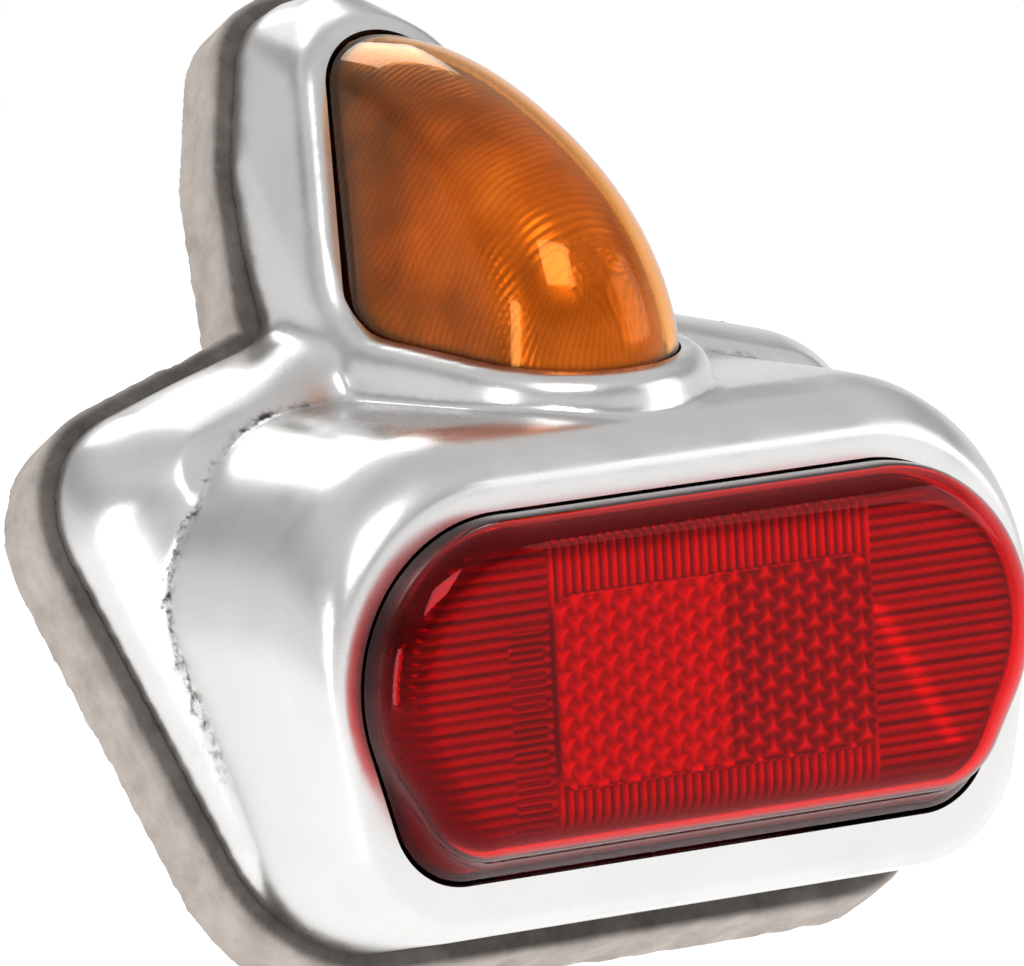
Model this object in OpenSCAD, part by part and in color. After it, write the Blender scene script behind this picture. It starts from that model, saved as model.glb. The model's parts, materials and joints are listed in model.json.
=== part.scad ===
// Scooter tail light: a polished cast housing with a red rear lens and an amber stop lens,
// on a rubber base pad, with two bayonet bulbs on a steel base plate inside.
// Sizes are in millimetres. X runs to the right as seen from behind the scooter, Z runs up,
// and the red lens faces -Y. The origin is the centre of the tilted mounting face.

/* [Mounting face] */
// Angle of the mounting face from the upright rim of the red lens
base_tilt = 30; // [24:1:36]
// How far the red rim stands behind the mounting centre
rim_reach = 42; // [40:0.5:44]
// How far the rim's reference line stands above the mounting centre
rim_rise = 3; // [1:0.5:5]

/* [Base outline] */
// Width of the housing foot across its shoulders
foot_w = 97.8; // [94:0.2:102]
// Radius of the shoulders
shoulder_r = 13; // [10:0.5:15]
// Height of the shoulder centres above the mounting centre
shoulder_v = 9.5; // [6:0.5:13]
// Width of the foot across its bottom corners
corner_w = 86; // [80:1:90]
// Radius of the bottom corners
corner_r = 15; // [12:0.5:18]
// Distance from the mounting centre down to the foot's bottom edge
foot_drop = 39.5; // [37:0.5:42]
// Width across the collar where the head starts
collar_w = 36; // [32:1:40]
// Height of the collar's top edge above the mounting centre
collar_top = 30; // [27:0.5:32]
// Width of the head at its root
head_w = 34.2; // [32:0.2:38]
// Width of the head half way up
head_mid_w = 27.4; // [25:0.2:30]
// Height of the head's top edge above the mounting centre
head_top = 65; // [62:0.5:68]
// Radius of the head's top
head_top_r = 9; // [7:0.5:11]

/* [Base pad] */
// Thickness of the rubber base pad
pad_t = 7.5; // [5:0.5:9]
// Width of the pad that shows outside the housing
pad_lip = 2.1; // [1:0.1:3]
// Width of the pad's ring, measured under the housing
pad_ring = 7; // [5:0.5:9]

/* [Housing] */
// Wall thickness of the casting
wall = 2.2; // [1.8:0.1:2.6]
// Height of the flared skirt above the pad
skirt_h = 13; // [11:0.5:15]
// How far the skirt draws in over its height
skirt_draw = 8; // [6:0.5:10]
// Height of the head above the pad
head_h = 13.5; // [12.5:0.25:15]

/* [Red rim] */
// Width of the ground rim
rim_w = 86; // [83:0.2:88]
// Height of the rim above its reference line
rim_top = 15.3; // [13:0.1:17]
// Depth of the rim below its reference line
rim_bottom = 29.6; // [28:0.1:31]
// How much narrower the rim's body is at its bottom corners
rim_taper = 9; // [6:0.5:12]
// Radius of the rim's top corners
rim_top_r = 20; // [17:0.5:22]
// Radius of the rim's bottom corners
rim_bottom_r = 12; // [10:0.5:15]
// Width of the ground band at the top and sides
band = 2.7; // [2:0.1:3.5]
// Width of the ground band at the bottom
band_bottom = 4.8; // [4:0.1:6]
// Growth of the hood behind the rim, at its top
hood_rise = 5.4; // [4:0.1:6.5]
// Growth of the hood behind the rim, at each side
hood_swell = 1.5; // [0.8:0.1:2.5]

/* [Amber opening] */
// Radius of the opening's rounded front end
nose_r = 12; // [10:0.25:13]
// Depth of that radius' centre behind the red rim
nose_y = 19.5; // [18.5:0.25:21]
// Height of the lip at the nose above the reference line
nose_z = 24; // [23:0.25:26]
// Slope of the lip's top from the nose to the corner
lip_slope = 7; // [4:0.5:9]
// Width of the raised lip round the opening
lip_w = 3; // [2.4:0.1:3.6]
// Half width of the opening at its inner corner
open_half = 14.8; // [14:0.1:15.2]
// Height of the arch opening's top above the mounting centre
arch_top = 56; // [54:0.25:57]
// Radius of the arch opening's top
arch_r = 8; // [7:0.25:9]

/* [Lenses] */
// Thickness of the lens walls
lens_t = 2.2; // [1.8:0.1:2.6]
// How far the red lens stands out past the rim
red_proud = 7; // [5:0.5:8]
// Radius of the red lens' face edge
red_edge_r = 4.5; // [3:0.5:6]
// Gap between a lens and its opening
lens_gap = 0.4; // [0.3:0.05:0.6]
// Width of the red lens flange past its opening
red_flange_w = 1; // [0.8:0.1:1.2]
// Width of the amber lens flange past its opening
amber_flange_w = 2; // [1.6:0.1:2.4]
// Thickness of a lens flange
flange_t = 2; // [1.6:0.1:2.4]
// Thickness of the flat lens seals
seal_t = 1; // [0.8:0.1:1.4]
// How far the amber dome draws in half way round
dome_draw = 7; // [5:0.1:7.4]

/* [Plate window] */
// Width of the window in the housing's underside
window_w = 40; // [36:1:44]
// Depth of the window, front to back
window_d = 7; // [6:0.5:8]

/* [Base plate] */
// Thickness of the pressed base plate
plate_t = 1.2; // [1:0.1:1.6]
// Gap between the base plate and the housing wall
plate_gap = 0.5; // [0.4:0.1:0.8]
// Distance between the two mounting studs
stud_pitch = 66; // [62:1:70]
// Diameter of the mounting studs
stud_d = 6; // [5:0.5:6]
// Length of a stud behind the mounting face
stud_len = 18; // [15:1:22]
// Distance between the two lower cover screws
screw_pitch = 70; // [68:0.5:72]
// Height of the lower cover screws above the mounting centre
screw_low_v = -28; // [-29:0.5:-26]
// Height of the upper cover screw above the mounting centre
screw_top_v = 54; // [53:0.5:55]
// Diameter of the cover screws
screw_d = 4; // [3.5:0.5:4]

/* [Bulbs and sockets] */
// Height of the tail bulb's axis above the mounting centre
tail_v = -18; // [-19:0.5:-17]
// Height of the stop bulb's axis above the mounting centre
stop_v = 26; // [25:0.5:28]
// Diameter of the bulb caps
cap_d = 15; // [14.8:0.1:15.2]
// Height of the bulb caps
cap_h = 15.5; // [15:0.5:17]
// Diameter of the glass bulbs
glass_d = 15.5; // [15:0.25:16]
// Overall length of a bulb
bulb_len = 29; // [28.5:0.25:29.5]
// Diameter of the bayonet pins
pin_d = 2; // [1.8:0.1:2.2]
// Height of the bayonet pins above the cap's bottom
pin_h = 6.5; // [6:0.25:7]
// How far a bulb can be pushed in
push_travel = 1.8; // [1.5:0.1:2]
// How far a bulb turns to unlock
twist_angle = 25; // [20:1:30]
// Length of a socket shell
shell_h = 18; // [17:0.5:19]
// Height of the shell's bottom above the mounting face
shell_z = 0.8; // [0.6:0.1:1.2]
// Wall thickness of a socket shell
shell_t = 0.8; // [0.6:0.1:1]
// Diameter of the cable entry in the grommet
cable_d = 6; // [5:0.5:7]

/* [Hidden] */

eps = 0.05;
big = 200;
outline_fn = 36;

module in_base() { rotate([90 - base_tilt, 0, 0]) children(); }
module in_rim() { translate([0, -rim_reach, rim_rise]) children(); }
module both_sides() { children(); mirror([1, 0, 0]) children(); }

// Shapes of the mounting plane: X across, Y up the face, Z out of it

skirt_profile = [[0, 0], [0.12, 0.02], [0.32, 0.12], [0.55, 0.32], [0.78, 0.6], [1, 1]];
collar_r = 6;
head_root_v = collar_top + 1;
head_root_r = 5.8;
head_mid_v = (head_root_v + head_top) / 2 - 2;
head_mid_r = 6;
least_r = 0.6;

// A disc whose edge is drawn in by inset, and which moves instead once it has become too small
module edge_disc(x, v, r, inset, w) {
    left = max(r - inset, least_r);
    move = inset - (r - left);
    translate([x - move * sign(x), v - move * sign(v), w]) cylinder(r = left, h = eps, $fn = outline_fn);
}

module foot_discs(inset, w) {
    both_sides() {
        edge_disc(corner_w / 2 - corner_r, corner_r - foot_drop, corner_r, inset, w);
        edge_disc(foot_w / 2 - shoulder_r, shoulder_v, shoulder_r, inset, w);
        edge_disc(collar_w / 2 - collar_r, collar_top - collar_r, collar_r, inset, w);
    }
}

module head_discs(inset, w) {
    both_sides() {
        edge_disc(head_w / 2 - head_root_r, head_root_v, head_root_r, inset, w);
        edge_disc(head_mid_w / 2 - head_mid_r, head_mid_v, head_mid_r, inset, w);
    }
    edge_disc(0, head_top - head_top_r, head_top_r, inset, w);
}

arch_root_v = 26;
arch_root_r = 5;
module arch_root_discs(grow, w) {
    both_sides() edge_disc(open_half - arch_root_r, arch_root_v, arch_root_r, -grow, w);
}

module arch_discs(grow, w) {
    arch_root_discs(grow, w);
    edge_disc(0, arch_top - arch_r, arch_r, -grow, w);
}

// Shapes of the rim frame: X across, Y back from the rim, Z up

rim_low_w = rim_w - rim_taper;
rim_low_band = (band + band_bottom) / 2 - 0.55;
lip_t = 2.4;

module rim_disc(x, z, r, y) {
    translate([x, y, z]) rotate([90, 0, 0]) cylinder(r = r, h = eps, $fn = outline_fn);
}

// One cross section of the hood: swell widens the top corners, low the bottom ones
module hood_discs(y, swell, low, rise, drop, inset) {
    both_sides() {
        rim_disc(rim_w / 2 - rim_top_r + swell, rim_top - rim_top_r + rise, rim_top_r - inset, y);
        rim_disc(rim_low_w / 2 - rim_bottom_r + low, rim_bottom_r - rim_bottom - drop,
            rim_bottom_r - inset, y);
    }
}

// The rim's opening, drawn larger by grow
module opening_discs(y, grow) {
    low_r = rim_bottom_r - rim_low_band;
    both_sides() {
        rim_disc(rim_w / 2 - rim_top_r, rim_top - rim_top_r, rim_top_r - band + grow, y);
        rim_disc(rim_low_w / 2 - rim_bottom_r, low_r - rim_bottom + band_bottom, low_r + grow, y);
    }
}

nose_tip_y = nose_y - nose_r;
nose_root_y = 33;
module nose_root_discs(grow, z) {
    both_sides() translate([open_half - arch_root_r, nose_root_y, z])
        cylinder(r = arch_root_r + grow, h = eps, $fn = outline_fn);
}

module nose_discs(grow, z) {
    nose_root_discs(grow, z);
    translate([0, nose_y, z]) cylinder(r = nose_r + grow, h = eps, $fn = outline_fn);
}

// A plane that lies along the top of the amber lip
module on_lip_plane(lift) {
    translate([0, nose_tip_y, nose_z + lift]) rotate([lip_slope, 0, 0])
        translate([0, -nose_tip_y, 0]) children();
}

// Housing

arch_w = pad_t + head_h;
hood_steps = [
    [0, 0, 0, 0, 0], [0.6, 0.3, 0.2, 0.2, 0.1], [2, 0.55, 0.45, 0.5, 0.25],
    [4.5, 0.8, 0.7, 0.78, 0.4], [9, 1, 0.9, 0.96, 0.55], [18, 1, 0.9, 1, 1], [53, 1, 0.9, 1, 1]
];
hood_drop = 3.6;

// The outer bodies run on below the mating face, where one flat cut trims them all
foot_spare = 1;
cavity_low = 3;

// How far the skirt's inner wall has drawn in at the height w
function skirt_inset_at(w) =
    skirt_draw * lookup((w - pad_t + cavity_low) / (skirt_h - wall + cavity_low), skirt_profile);

module skirt(inset, low) {
    in_base() hull() for (s = skirt_profile)
        foot_discs(inset + s[1] * skirt_draw, pad_t - low + s[0] * (skirt_h - inset + low));
}

module head_foot(inset, low) {
    head_discs(inset, pad_t - low);
    head_discs(inset + 0.4, pad_t + 3.5);
    head_discs(inset + 2.6, arch_w - 4 - inset);
}

module head_outer() {
    in_base() hull() {
        head_foot(0, foot_spare);
        arch_discs(lip_w, arch_w - 2.4);
        arch_discs(lip_w - 0.7, arch_w - 0.7);
        arch_discs(lip_w - 1.6, arch_w);
    }
}

module head_cavity() {
    in_base() hull() {
        head_foot(wall, cavity_low);
        arch_discs(0, arch_w - wall);
    }
}

// Broad fillet between the head and the shoulders
neck_x = 14.5;
neck_v = 22;
neck_r = 7;
module neck() {
    in_base() hull() both_sides() {
        edge_disc(neck_x, neck_v, neck_r, 0, pad_t - foot_spare);
        edge_disc(neck_x - 1.5, neck_v + 1, neck_r, 0, pad_t + 6);
        edge_disc(neck_x - 5, neck_v, neck_r, 1, arch_w - 2.5);
    }
}

module hood(inset, from) {
    in_rim() hull() for (s = hood_steps)
        hood_discs(from + s[0], s[1] * hood_swell, s[2] * hood_swell, s[3] * hood_rise,
            s[4] * hood_drop, inset);
}

module nose() {
    in_rim() hull() {
        nose_discs(lip_w + 1, rim_top);
        on_lip_plane(-2.4) nose_discs(lip_w, 0);
        on_lip_plane(-0.6) nose_discs(lip_w - 0.7, 0);
        on_lip_plane(0) nose_discs(lip_w - 1.6, 0);
    }
}

// Fillet between the lip along the shelf and the lip up the arch
rim_w_reach = rim_reach * cos(base_tilt) + rim_rise * sin(base_tilt);
lip_corner_y = (rim_w_reach - arch_w + nose_z * sin(base_tilt) - nose_tip_y * tan(lip_slope) * sin(base_tilt))
    / (cos(base_tilt) - tan(lip_slope) * sin(base_tilt));
lip_corner_z = nose_z + (lip_corner_y - nose_tip_y) * tan(lip_slope);
lip_fillet = 11;
lip_open = 90 + lip_slope + base_tilt;
lip_middle = 180 + lip_slope - lip_open / 2;
lip_centre = lip_fillet / sin(lip_open / 2) * [cos(lip_middle), sin(lip_middle)];
module lip_web() {
    in_rim() both_sides() translate([open_half - 1, lip_corner_y, lip_corner_z])
        rotate([90, 0, 90]) linear_extrude(lip_w + 0.2)
            polygon(concat([-3 * [cos(lip_middle), sin(lip_middle)]],
                [for (i = [0:6]) let (a = lip_middle + 180 + (i / 6 - 0.5) * (180 - lip_open))
                    lip_centre + lip_fillet * [cos(a), sin(a)]]));
}

module amber_cut() {
    in_base() hull() {
        arch_discs(0, arch_w - 5);
        arch_discs(0, arch_w + 40);
    }
    in_rim() hull() {
        nose_discs(0, roof_z - 1);
        nose_discs(0, 60);
    }
    hull() {
        in_base() for (w = [arch_w - 5, arch_w + 2]) arch_root_discs(0, w);
        in_rim() for (z = [roof_z - 1, nose_z + 5]) nose_root_discs(0, z);
    }
}

foot_front_y = rim_reach - foot_drop * sin(base_tilt) - pad_t * cos(base_tilt);
window_y = foot_front_y - window_d - 1.25;
window_t = 1.5;
window_plug_h = wall + window_t - 0.3;
floor_z = rim_bottom + hood_drop * 0.5 - wall;
pad_z = floor_z - window_t;
roof_z = rim_top + hood_rise * 0.96 - wall - 0.3;
boss_r = 3.8;
boss_hole_r = screw_d / 2 + 0.05;
boss_len = 14;
boss_top_len = 7;
plate_z = pad_t + plate_t;
screw_spots = [[-screw_pitch / 2, screw_low_v, boss_len], [screw_pitch / 2, screw_low_v, boss_len],
    [0, screw_top_v, boss_top_len]];
flange_y = lip_t + seal_t;
flange_back = flange_y + flange_t;
lug_y = flange_back + 0.3;
lug_t = 2.5;
red_clip_x = rim_w / 2 - band + red_flange_w - 1.1;
red_clip_z = rim_top - band + red_flange_w - 0.6;
red_clip_side_z = rim_top - rim_top_r + 2;
red_clip_top_x = 19;
clip_screw_d = 2.5;
clip_hole_d = clip_screw_d + 0.1;
amber_flange_z = roof_z - seal_t - flange_t;
amber_lug_x = open_half + amber_flange_w + 0.6;
amber_lug_y = 24;
amber_lug_z = amber_flange_z - 0.3;
window_screw_x = window_w / 2 + 4;

module at_red_clips() {
    both_sides() {
        translate([red_clip_x, 0, red_clip_side_z]) children();
        translate([red_clip_top_x, 0, red_clip_z]) rotate([0, -90, 0]) children();
    }
}

module lens_lugs() {
    in_rim() at_red_clips() difference() {
        translate([-4, lug_y, -3]) cube([12, lug_t, 6]);
        translate([-1.6, lug_y - 1, 0]) rotate([-90, 0, 0])
            cylinder(d = clip_hole_d, h = lug_t + 2, $fn = 24);
    }
    in_rim() both_sides() difference() {
        translate([amber_lug_x, amber_lug_y - 3, amber_lug_z]) cube([6, 6, 6]);
        translate([amber_lug_x + 3, amber_lug_y, amber_lug_z - 1])
            cylinder(d = clip_hole_d, h = 5, $fn = 24);
    }
}

module housing_outer() {
    skirt(0, foot_spare);
    head_outer();
    neck();
    hood(0, 0);
    nose();
    lip_web();
}

// Room for the base plate where the head's cavity meets the skirt's
module neck_cavity() {
    in_base() hull() for (w = [pad_t - cavity_low, plate_z + 1]) both_sides()
        edge_disc(collar_w / 2 - collar_r, collar_top - 2.8, collar_r, wall + 0.4, w);
}

module housing_cavity() {
    skirt(wall, cavity_low);
    neck_cavity();
    head_cavity();
    in_rim() hull() {
        opening_discs(lip_t, red_flange_w + 0.3);
        opening_discs(lip_t + 4, red_flange_w + 0.3);
    }
    in_rim() hull() {
        nose_discs(amber_flange_w + 0.3, amber_flange_z - 0.5);
        nose_discs(amber_flange_w + 0.3, roof_z - eps);
    }
    difference() {
        hood(wall, lip_t);
        in_rim() hull() {
            nose_discs(amber_flange_w + 3, roof_z);
            nose_discs(amber_flange_w + 3, roof_z + 3);
        }
        in_rim() translate([-window_w / 2 - 8, window_y - 1.3, -floor_z - 6])
            cube([window_w + 16, window_d + 2.6, floor_z + 6 - pad_z]);
    }
}

module housing() {
    color("silver") difference() {
        union() {
            difference() {
                housing_outer();
                housing_cavity();
            }
            intersection() {
                housing_outer();
                union() {
                    in_base() {
                        for (s = screw_spots) translate([s[0], s[1], plate_z])
                            cylinder(r = boss_r, h = s[2], $fn = 32);
                        translate([-1.5, screw_top_v, plate_z])
                            cube([3, head_top - screw_top_v, boss_top_len]);
                    }
                    lens_lugs();
                }
            }
        }
        amber_cut();
        in_rim() hull() {
            opening_discs(lip_t + 1, 0);
            opening_discs(-5, 0);
        }
        in_rim() translate([-window_w / 2, window_y, -rim_bottom - 8])
            cube([window_w, window_d, 14]);
        in_rim() both_sides() translate([window_screw_x, window_y + window_d / 2, -pad_z - 2.4])
            cylinder(d = clip_hole_d, h = 6, $fn = 24);
        in_base() for (s = screw_spots) translate([s[0], s[1], plate_z - 1])
            cylinder(r = boss_hole_r, h = s[2], $fn = 32);
        in_base() translate([-big / 2, -big / 2, pad_t - big]) cube([big, big, big]);
    }
}
housing();

// Red lens, its seal and the plate window

red_steps = [for (i = [0:4]) i * 22.5];

module red_form(inset, from) {
    in_rim() hull() {
        opening_discs(from, -lens_gap - inset);
        for (a = red_steps)
            opening_discs(red_edge_r - red_proud - (red_edge_r - inset) * sin(a),
                -lens_gap - inset - (red_edge_r - inset) * (1 - cos(a)));
    }
}

module red_lens() {
    color("firebrick") difference() {
        union() {
            red_form(0, flange_back - 0.2);
            in_rim() hull() {
                opening_discs(flange_y + eps, red_flange_w);
                opening_discs(flange_back, red_flange_w);
            }
        }
        red_form(lens_t, flange_back + 1);
    }
}
red_lens();

module red_lens_seal() {
    color("black") difference() {
        in_rim() hull() {
            opening_discs(lip_t + eps, red_flange_w);
            opening_discs(flange_y, red_flange_w);
        }
        in_rim() hull() {
            opening_discs(lip_t - 1, 0);
            opening_discs(flange_y + 1, 0);
        }
    }
}
red_lens_seal();

module plate_window() {
    color("white") in_rim() {
        translate([-window_w / 2 + 0.2, window_y + 0.2, -pad_z - window_plug_h])
            cube([window_w - 0.4, window_d - 0.4, window_plug_h + window_t]);
        difference() {
            translate([-window_w / 2 - 7, window_y - 1, -pad_z])
                cube([window_w + 14, window_d + 2, window_t]);
            both_sides() translate([window_screw_x, window_y + window_d / 2, -pad_z - 1])
                cylinder(d = clip_hole_d, h = 4, $fn = 24);
        }
    }
}
plate_window();

// A small pan-head screw; its head sits on z = 0 and its shaft runs down
module pan_screw(d, length) {
    difference() {
        union() {
            translate([0, 0, -length]) cylinder(d = d, h = length + 0.1, $fn = 24);
            cylinder(d = d * 1.9, h = d * 0.4, $fn = 24);
            translate([0, 0, d * 0.4]) cylinder(d1 = d * 1.9, d2 = d * 1.3, h = d * 0.2, $fn = 24);
        }
        translate([-d, -d * 0.12, d * 0.35]) cube([2 * d, d * 0.24, d]);
    }
}

module window_screws() {
    color("gainsboro") in_rim() both_sides()
        translate([window_screw_x, window_y + window_d / 2, window_t - pad_z]) pan_screw(clip_screw_d, 3.6);
}
window_screws();

// Amber lens and its seal

dome_y = 35.5;
dome_z = nose_z + (dome_y - nose_tip_y) * tan(lip_slope) - 0.25;
dome_reach_arch = arch_top - lens_gap
    - (dome_y - rim_reach) * sin(base_tilt) - (dome_z + rim_rise) * cos(base_tilt);
dome_reach_nose = (dome_y - nose_tip_y - lens_gap) / cos(lip_slope);
dome_first = 90 - base_tilt;
dome_last = 180 + lip_slope;

function dome_reach_at(t) = dome_reach_arch + (dome_reach_nose - dome_reach_arch) * t
    - dome_draw * pow(sin(180 * pow(t, 0.78)), 1.15);
function dome_tip_r(t) = arch_r + (nose_r - arch_r) * t - lens_gap;

module dome_section(turn, t, inset) {
    tip_r = dome_tip_r(t) - inset;
    translate([0, dome_y, dome_z]) rotate([turn, 0, 0]) {
        both_sides() translate([open_half - arch_root_r, 2, 0])
            cylinder(r = arch_root_r - lens_gap - inset, h = eps, $fn = outline_fn);
        translate([0, dome_reach_at(t) - inset - tip_r, 0]) cylinder(r = tip_r, h = eps, $fn = outline_fn);
    }
}

amber_foot_w = arch_w - 3;
amber_foot_v = 20;

// The dome and its skirt as one convex form; low lets the inner one run out below the outer one
module amber_form(inset, low) {
    hull() {
        in_rim() {
            for (i = [0:8])
                dome_section(dome_first + (dome_last - dome_first) * i / 8, i / 8, inset);
            nose_discs(-lens_gap - inset, amber_flange_z - 0.3 - low);
            translate([0, low, 0]) nose_discs(-lens_gap - inset, amber_flange_z - 0.3 - low);
        }
        in_base() {
            arch_discs(-lens_gap - inset, amber_foot_w - low);
            translate([0, -low, 0]) arch_discs(-lens_gap - inset, amber_foot_w - low);
        }
    }
}
module nose_plan(grow) {
    hull() {
        both_sides() translate([open_half - arch_root_r, nose_root_y])
            circle(r = arch_root_r + grow, $fn = 48);
        translate([0, nose_y]) circle(r = nose_r + grow, $fn = 64);
    }
}

amber_flange_end = 31;
module amber_ring(z, thick, inner) {
    translate([0, 0, z]) linear_extrude(thick) difference() {
        nose_plan(amber_flange_w);
        nose_plan(inner);
        translate([-big / 2, amber_flange_end]) square([big, big]);
    }
}

module amber_lens() {
    color("orange") {
        difference() {
            amber_form(0, 0);
            amber_form(lens_t, 12);
            in_base() translate([-big / 2, amber_foot_v, amber_foot_w - big]) cube([big, big, big]);
        }
        in_rim() amber_ring(amber_flange_z, flange_t - 0.05, -lens_gap - lens_t / 2);
    }
}
amber_lens();

module amber_lens_seal() {
    color("black") in_rim() amber_ring(amber_flange_z + flange_t, seal_t - 0.05, 0);
}
amber_lens_seal();

// Spring clips that hold both lenses, and their screws

clip_t = 0.7;

module lens_clips() {
    color("lightgray") in_rim() {
        at_red_clips() {
            difference() {
                translate([-3.1, lug_y + lug_t, -3]) cube([3, clip_t, 7]);
                translate([-1.6, lug_y + lug_t - 1, 0]) rotate([-90, 0, 0])
                    cylinder(d = clip_hole_d, h = 3, $fn = 24);
            }
            translate([-3.1, flange_back, 3.3]) cube([3, lug_y + lug_t + clip_t - flange_back, clip_t]);
            translate([-3.1, flange_back, 3.3]) cube([3, clip_t, 3]);
        }
        both_sides() {
            difference() {
                translate([open_half - 0.3, amber_lug_y - 2, amber_lug_z - clip_t])
                    cube([amber_lug_x + 6 - open_half, 4, clip_t]);
                translate([amber_lug_x + 3, amber_lug_y, amber_lug_z - 2])
                    cylinder(d = clip_hole_d, h = 4, $fn = 24);
            }
            translate([open_half - 0.3, amber_lug_y - 2, amber_lug_z - clip_t]) cube([2, 4, clip_t + 0.3]);
        }
    }
}
lens_clips();

module clip_screws() {
    color("gainsboro") in_rim() {
        at_red_clips()
            translate([-1.6, lug_y + lug_t + clip_t, 0]) rotate([-90, 0, 0]) pan_screw(clip_screw_d, lug_t);
        both_sides() translate([amber_lug_x + 3, amber_lug_y, amber_lug_z - clip_t]) rotate([180, 0, 0])
            pan_screw(clip_screw_d, 4);
    }
}
clip_screws();

// Base pad and base plate

module foot_plan(grow) {
    offset(r = grow) {
        hull() both_sides() {
            translate([corner_w / 2 - corner_r, corner_r - foot_drop]) circle(r = corner_r, $fn = 64);
            translate([foot_w / 2 - shoulder_r, shoulder_v]) circle(r = shoulder_r, $fn = 64);
            translate([collar_w / 2 - collar_r, collar_top - collar_r]) circle(r = collar_r, $fn = 48);
        }
        hull() {
            both_sides() {
                translate([head_w / 2 - head_root_r, head_root_v]) circle(r = head_root_r, $fn = 48);
                translate([head_mid_w / 2 - head_mid_r, head_mid_v]) circle(r = head_mid_r, $fn = 48);
            }
            translate([0, head_top - head_top_r]) circle(r = head_top_r, $fn = 48);
        }
    }
}

screw_head_d = screw_d * 1.9;
screw_access_r = screw_head_d / 2 + 0.9;

module base_pad() {
    color("dimgray") in_base() linear_extrude(pad_t) difference() {
        foot_plan(pad_lip);
        foot_plan(-pad_ring);
        for (s = screw_spots) translate([s[0], s[1]]) circle(r = screw_access_r, $fn = 48);
    }
}
base_pad();

shell_r = cap_d / 2 + 0.3 + shell_t;
rivet_pitch = 10.4;
socket_flange_r = 12.2;
rivet_r = 1;
block_x = 19.3;
block_v = -6;
block_w = 16;
block_d = 10;
block_h = 9;
terminal_x = 4;
lead_r = 1;
grommet_x = -22;
grommet_v = -4;
grommet_r = cable_d / 2 + 1.5;
foot_v = 3.2;
foot_rivet_x = 7;
foot_rivet_v = 0.6;
weld_r = 4.4;
stud_root_r = stud_d / 2 + 0.3;
washer_t = 0.8;

module base_plate() {
    color("lightsteelblue") in_base() translate([0, 0, pad_t]) linear_extrude(plate_t) difference() {
        foot_plan(-wall - skirt_inset_at(plate_z) - plate_gap);
        for (v = [tail_v, stop_v]) translate([0, v]) {
            circle(r = shell_r + 0.05, $fn = 72);
            for (i = [-1, 1]) translate([0, i * rivet_pitch]) circle(r = rivet_r + 0.02, $fn = 24);
        }
        both_sides() translate([stud_pitch / 2, 0]) circle(r = stud_root_r + 0.02, $fn = 48);
        for (s = screw_spots) translate([s[0], s[1]]) circle(r = screw_d / 2 + 0.2, $fn = 32);
        for (i = [-1, 1]) translate([block_x + i * terminal_x, block_v]) circle(r = lead_r + 0.4, $fn = 24);
        translate([grommet_x, grommet_v]) circle(r = grommet_r + 0.02, $fn = 48);
        both_sides() translate([foot_rivet_x, foot_rivet_v]) circle(r = rivet_r + 0.02, $fn = 24);
    }
}
base_plate();

// Cover screws from behind, their washers, and the mounting hardware

module cover_screw_washers() {
    color("gainsboro") in_base() for (s = screw_spots) translate([s[0], s[1], pad_t - washer_t])
        difference() {
            cylinder(r = screw_head_d / 2 + 0.5, h = washer_t, $fn = 48);
            translate([0, 0, -1]) cylinder(r = screw_d / 2 + 0.1, h = 3, $fn = 32);
        }
}
cover_screw_washers();

module cover_screws() {
    color("gainsboro") in_base() for (s = screw_spots) translate([s[0], s[1], pad_t - washer_t])
        rotate([180, 0, 0]) pan_screw(screw_d, washer_t + plate_t + s[2] - 2);
}
cover_screws();

module mounting_studs() {
    color("gainsboro") in_base() both_sides() translate([stud_pitch / 2, 0, 0]) {
        translate([0, 0, plate_z]) cylinder(r = weld_r, h = 1, $fn = 48);
        translate([0, 0, pad_t - 0.3]) cylinder(r = stud_root_r, h = plate_t + 0.8, $fn = 48);
        translate([0, 0, -stud_len]) cylinder(d = stud_d, h = stud_len + pad_t, $fn = 48);
    }
}
mounting_studs();

// Light partition between the red and the amber chamber

partition_t = 0.8;
partition_rear = rim_reach + foot_v * sin(base_tilt) - plate_z * cos(base_tilt);
partition_rear_z = foot_v * cos(base_tilt) + plate_z * sin(base_tilt) - rim_rise;
partition_front = 11.5;
partition_tip_z = 11;
partition_half = 38;
partition_tip_half = 31;
partition_foot_half = stud_pitch / 2 - weld_r - 0.6;

module light_partition() {
    color("whitesmoke") {
        difference() {
            in_rim() hull() {
                both_sides() translate([partition_half - 1, partition_rear, partition_rear_z])
                    cylinder(r = 1, h = partition_t, $fn = 16);
                both_sides() translate([partition_tip_half - 1, partition_front, partition_tip_z])
                    cylinder(r = 1, h = partition_t, $fn = 16);
            }
            in_base() {
                translate([-big / 2, -big / 2, plate_z - big]) cube([big, big, big]);
                both_sides() translate([stud_pitch / 2, 0, plate_z - 1])
                    cylinder(r = weld_r + 0.4, h = 2.6, $fn = 48);
            }
        }
        in_base() difference() {
            translate([-partition_foot_half, foot_v - 6.2, plate_z])
                cube([2 * partition_foot_half, 7.2, partition_t]);
            both_sides() translate([foot_rivet_x, foot_rivet_v, plate_z - 1])
                cylinder(r = rivet_r + 0.02, h = 4, $fn = 24);
            translate([block_x - block_w / 2 - 1, block_v - block_d / 2 - 1, plate_z - 1])
                cube([block_w + 2, block_d + 2, 4]);
            translate([grommet_x, grommet_v, plate_z - 1]) cylinder(r = grommet_r + 2.2, h = 4, $fn = 48);
        }
    }
}
light_partition();

// A rivet through sheets from z = 0 up to z = grip
module rivet(grip) {
    translate([0, 0, -0.6]) cylinder(r = rivet_r, h = grip + 1, $fn = 24);
    translate([0, 0, -0.6]) cylinder(r = rivet_r * 1.8, h = 0.6, $fn = 32);
    translate([0, 0, grip]) cylinder(r1 = rivet_r * 1.9, r2 = rivet_r * 1.1, h = 0.9, $fn = 32);
}

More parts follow.
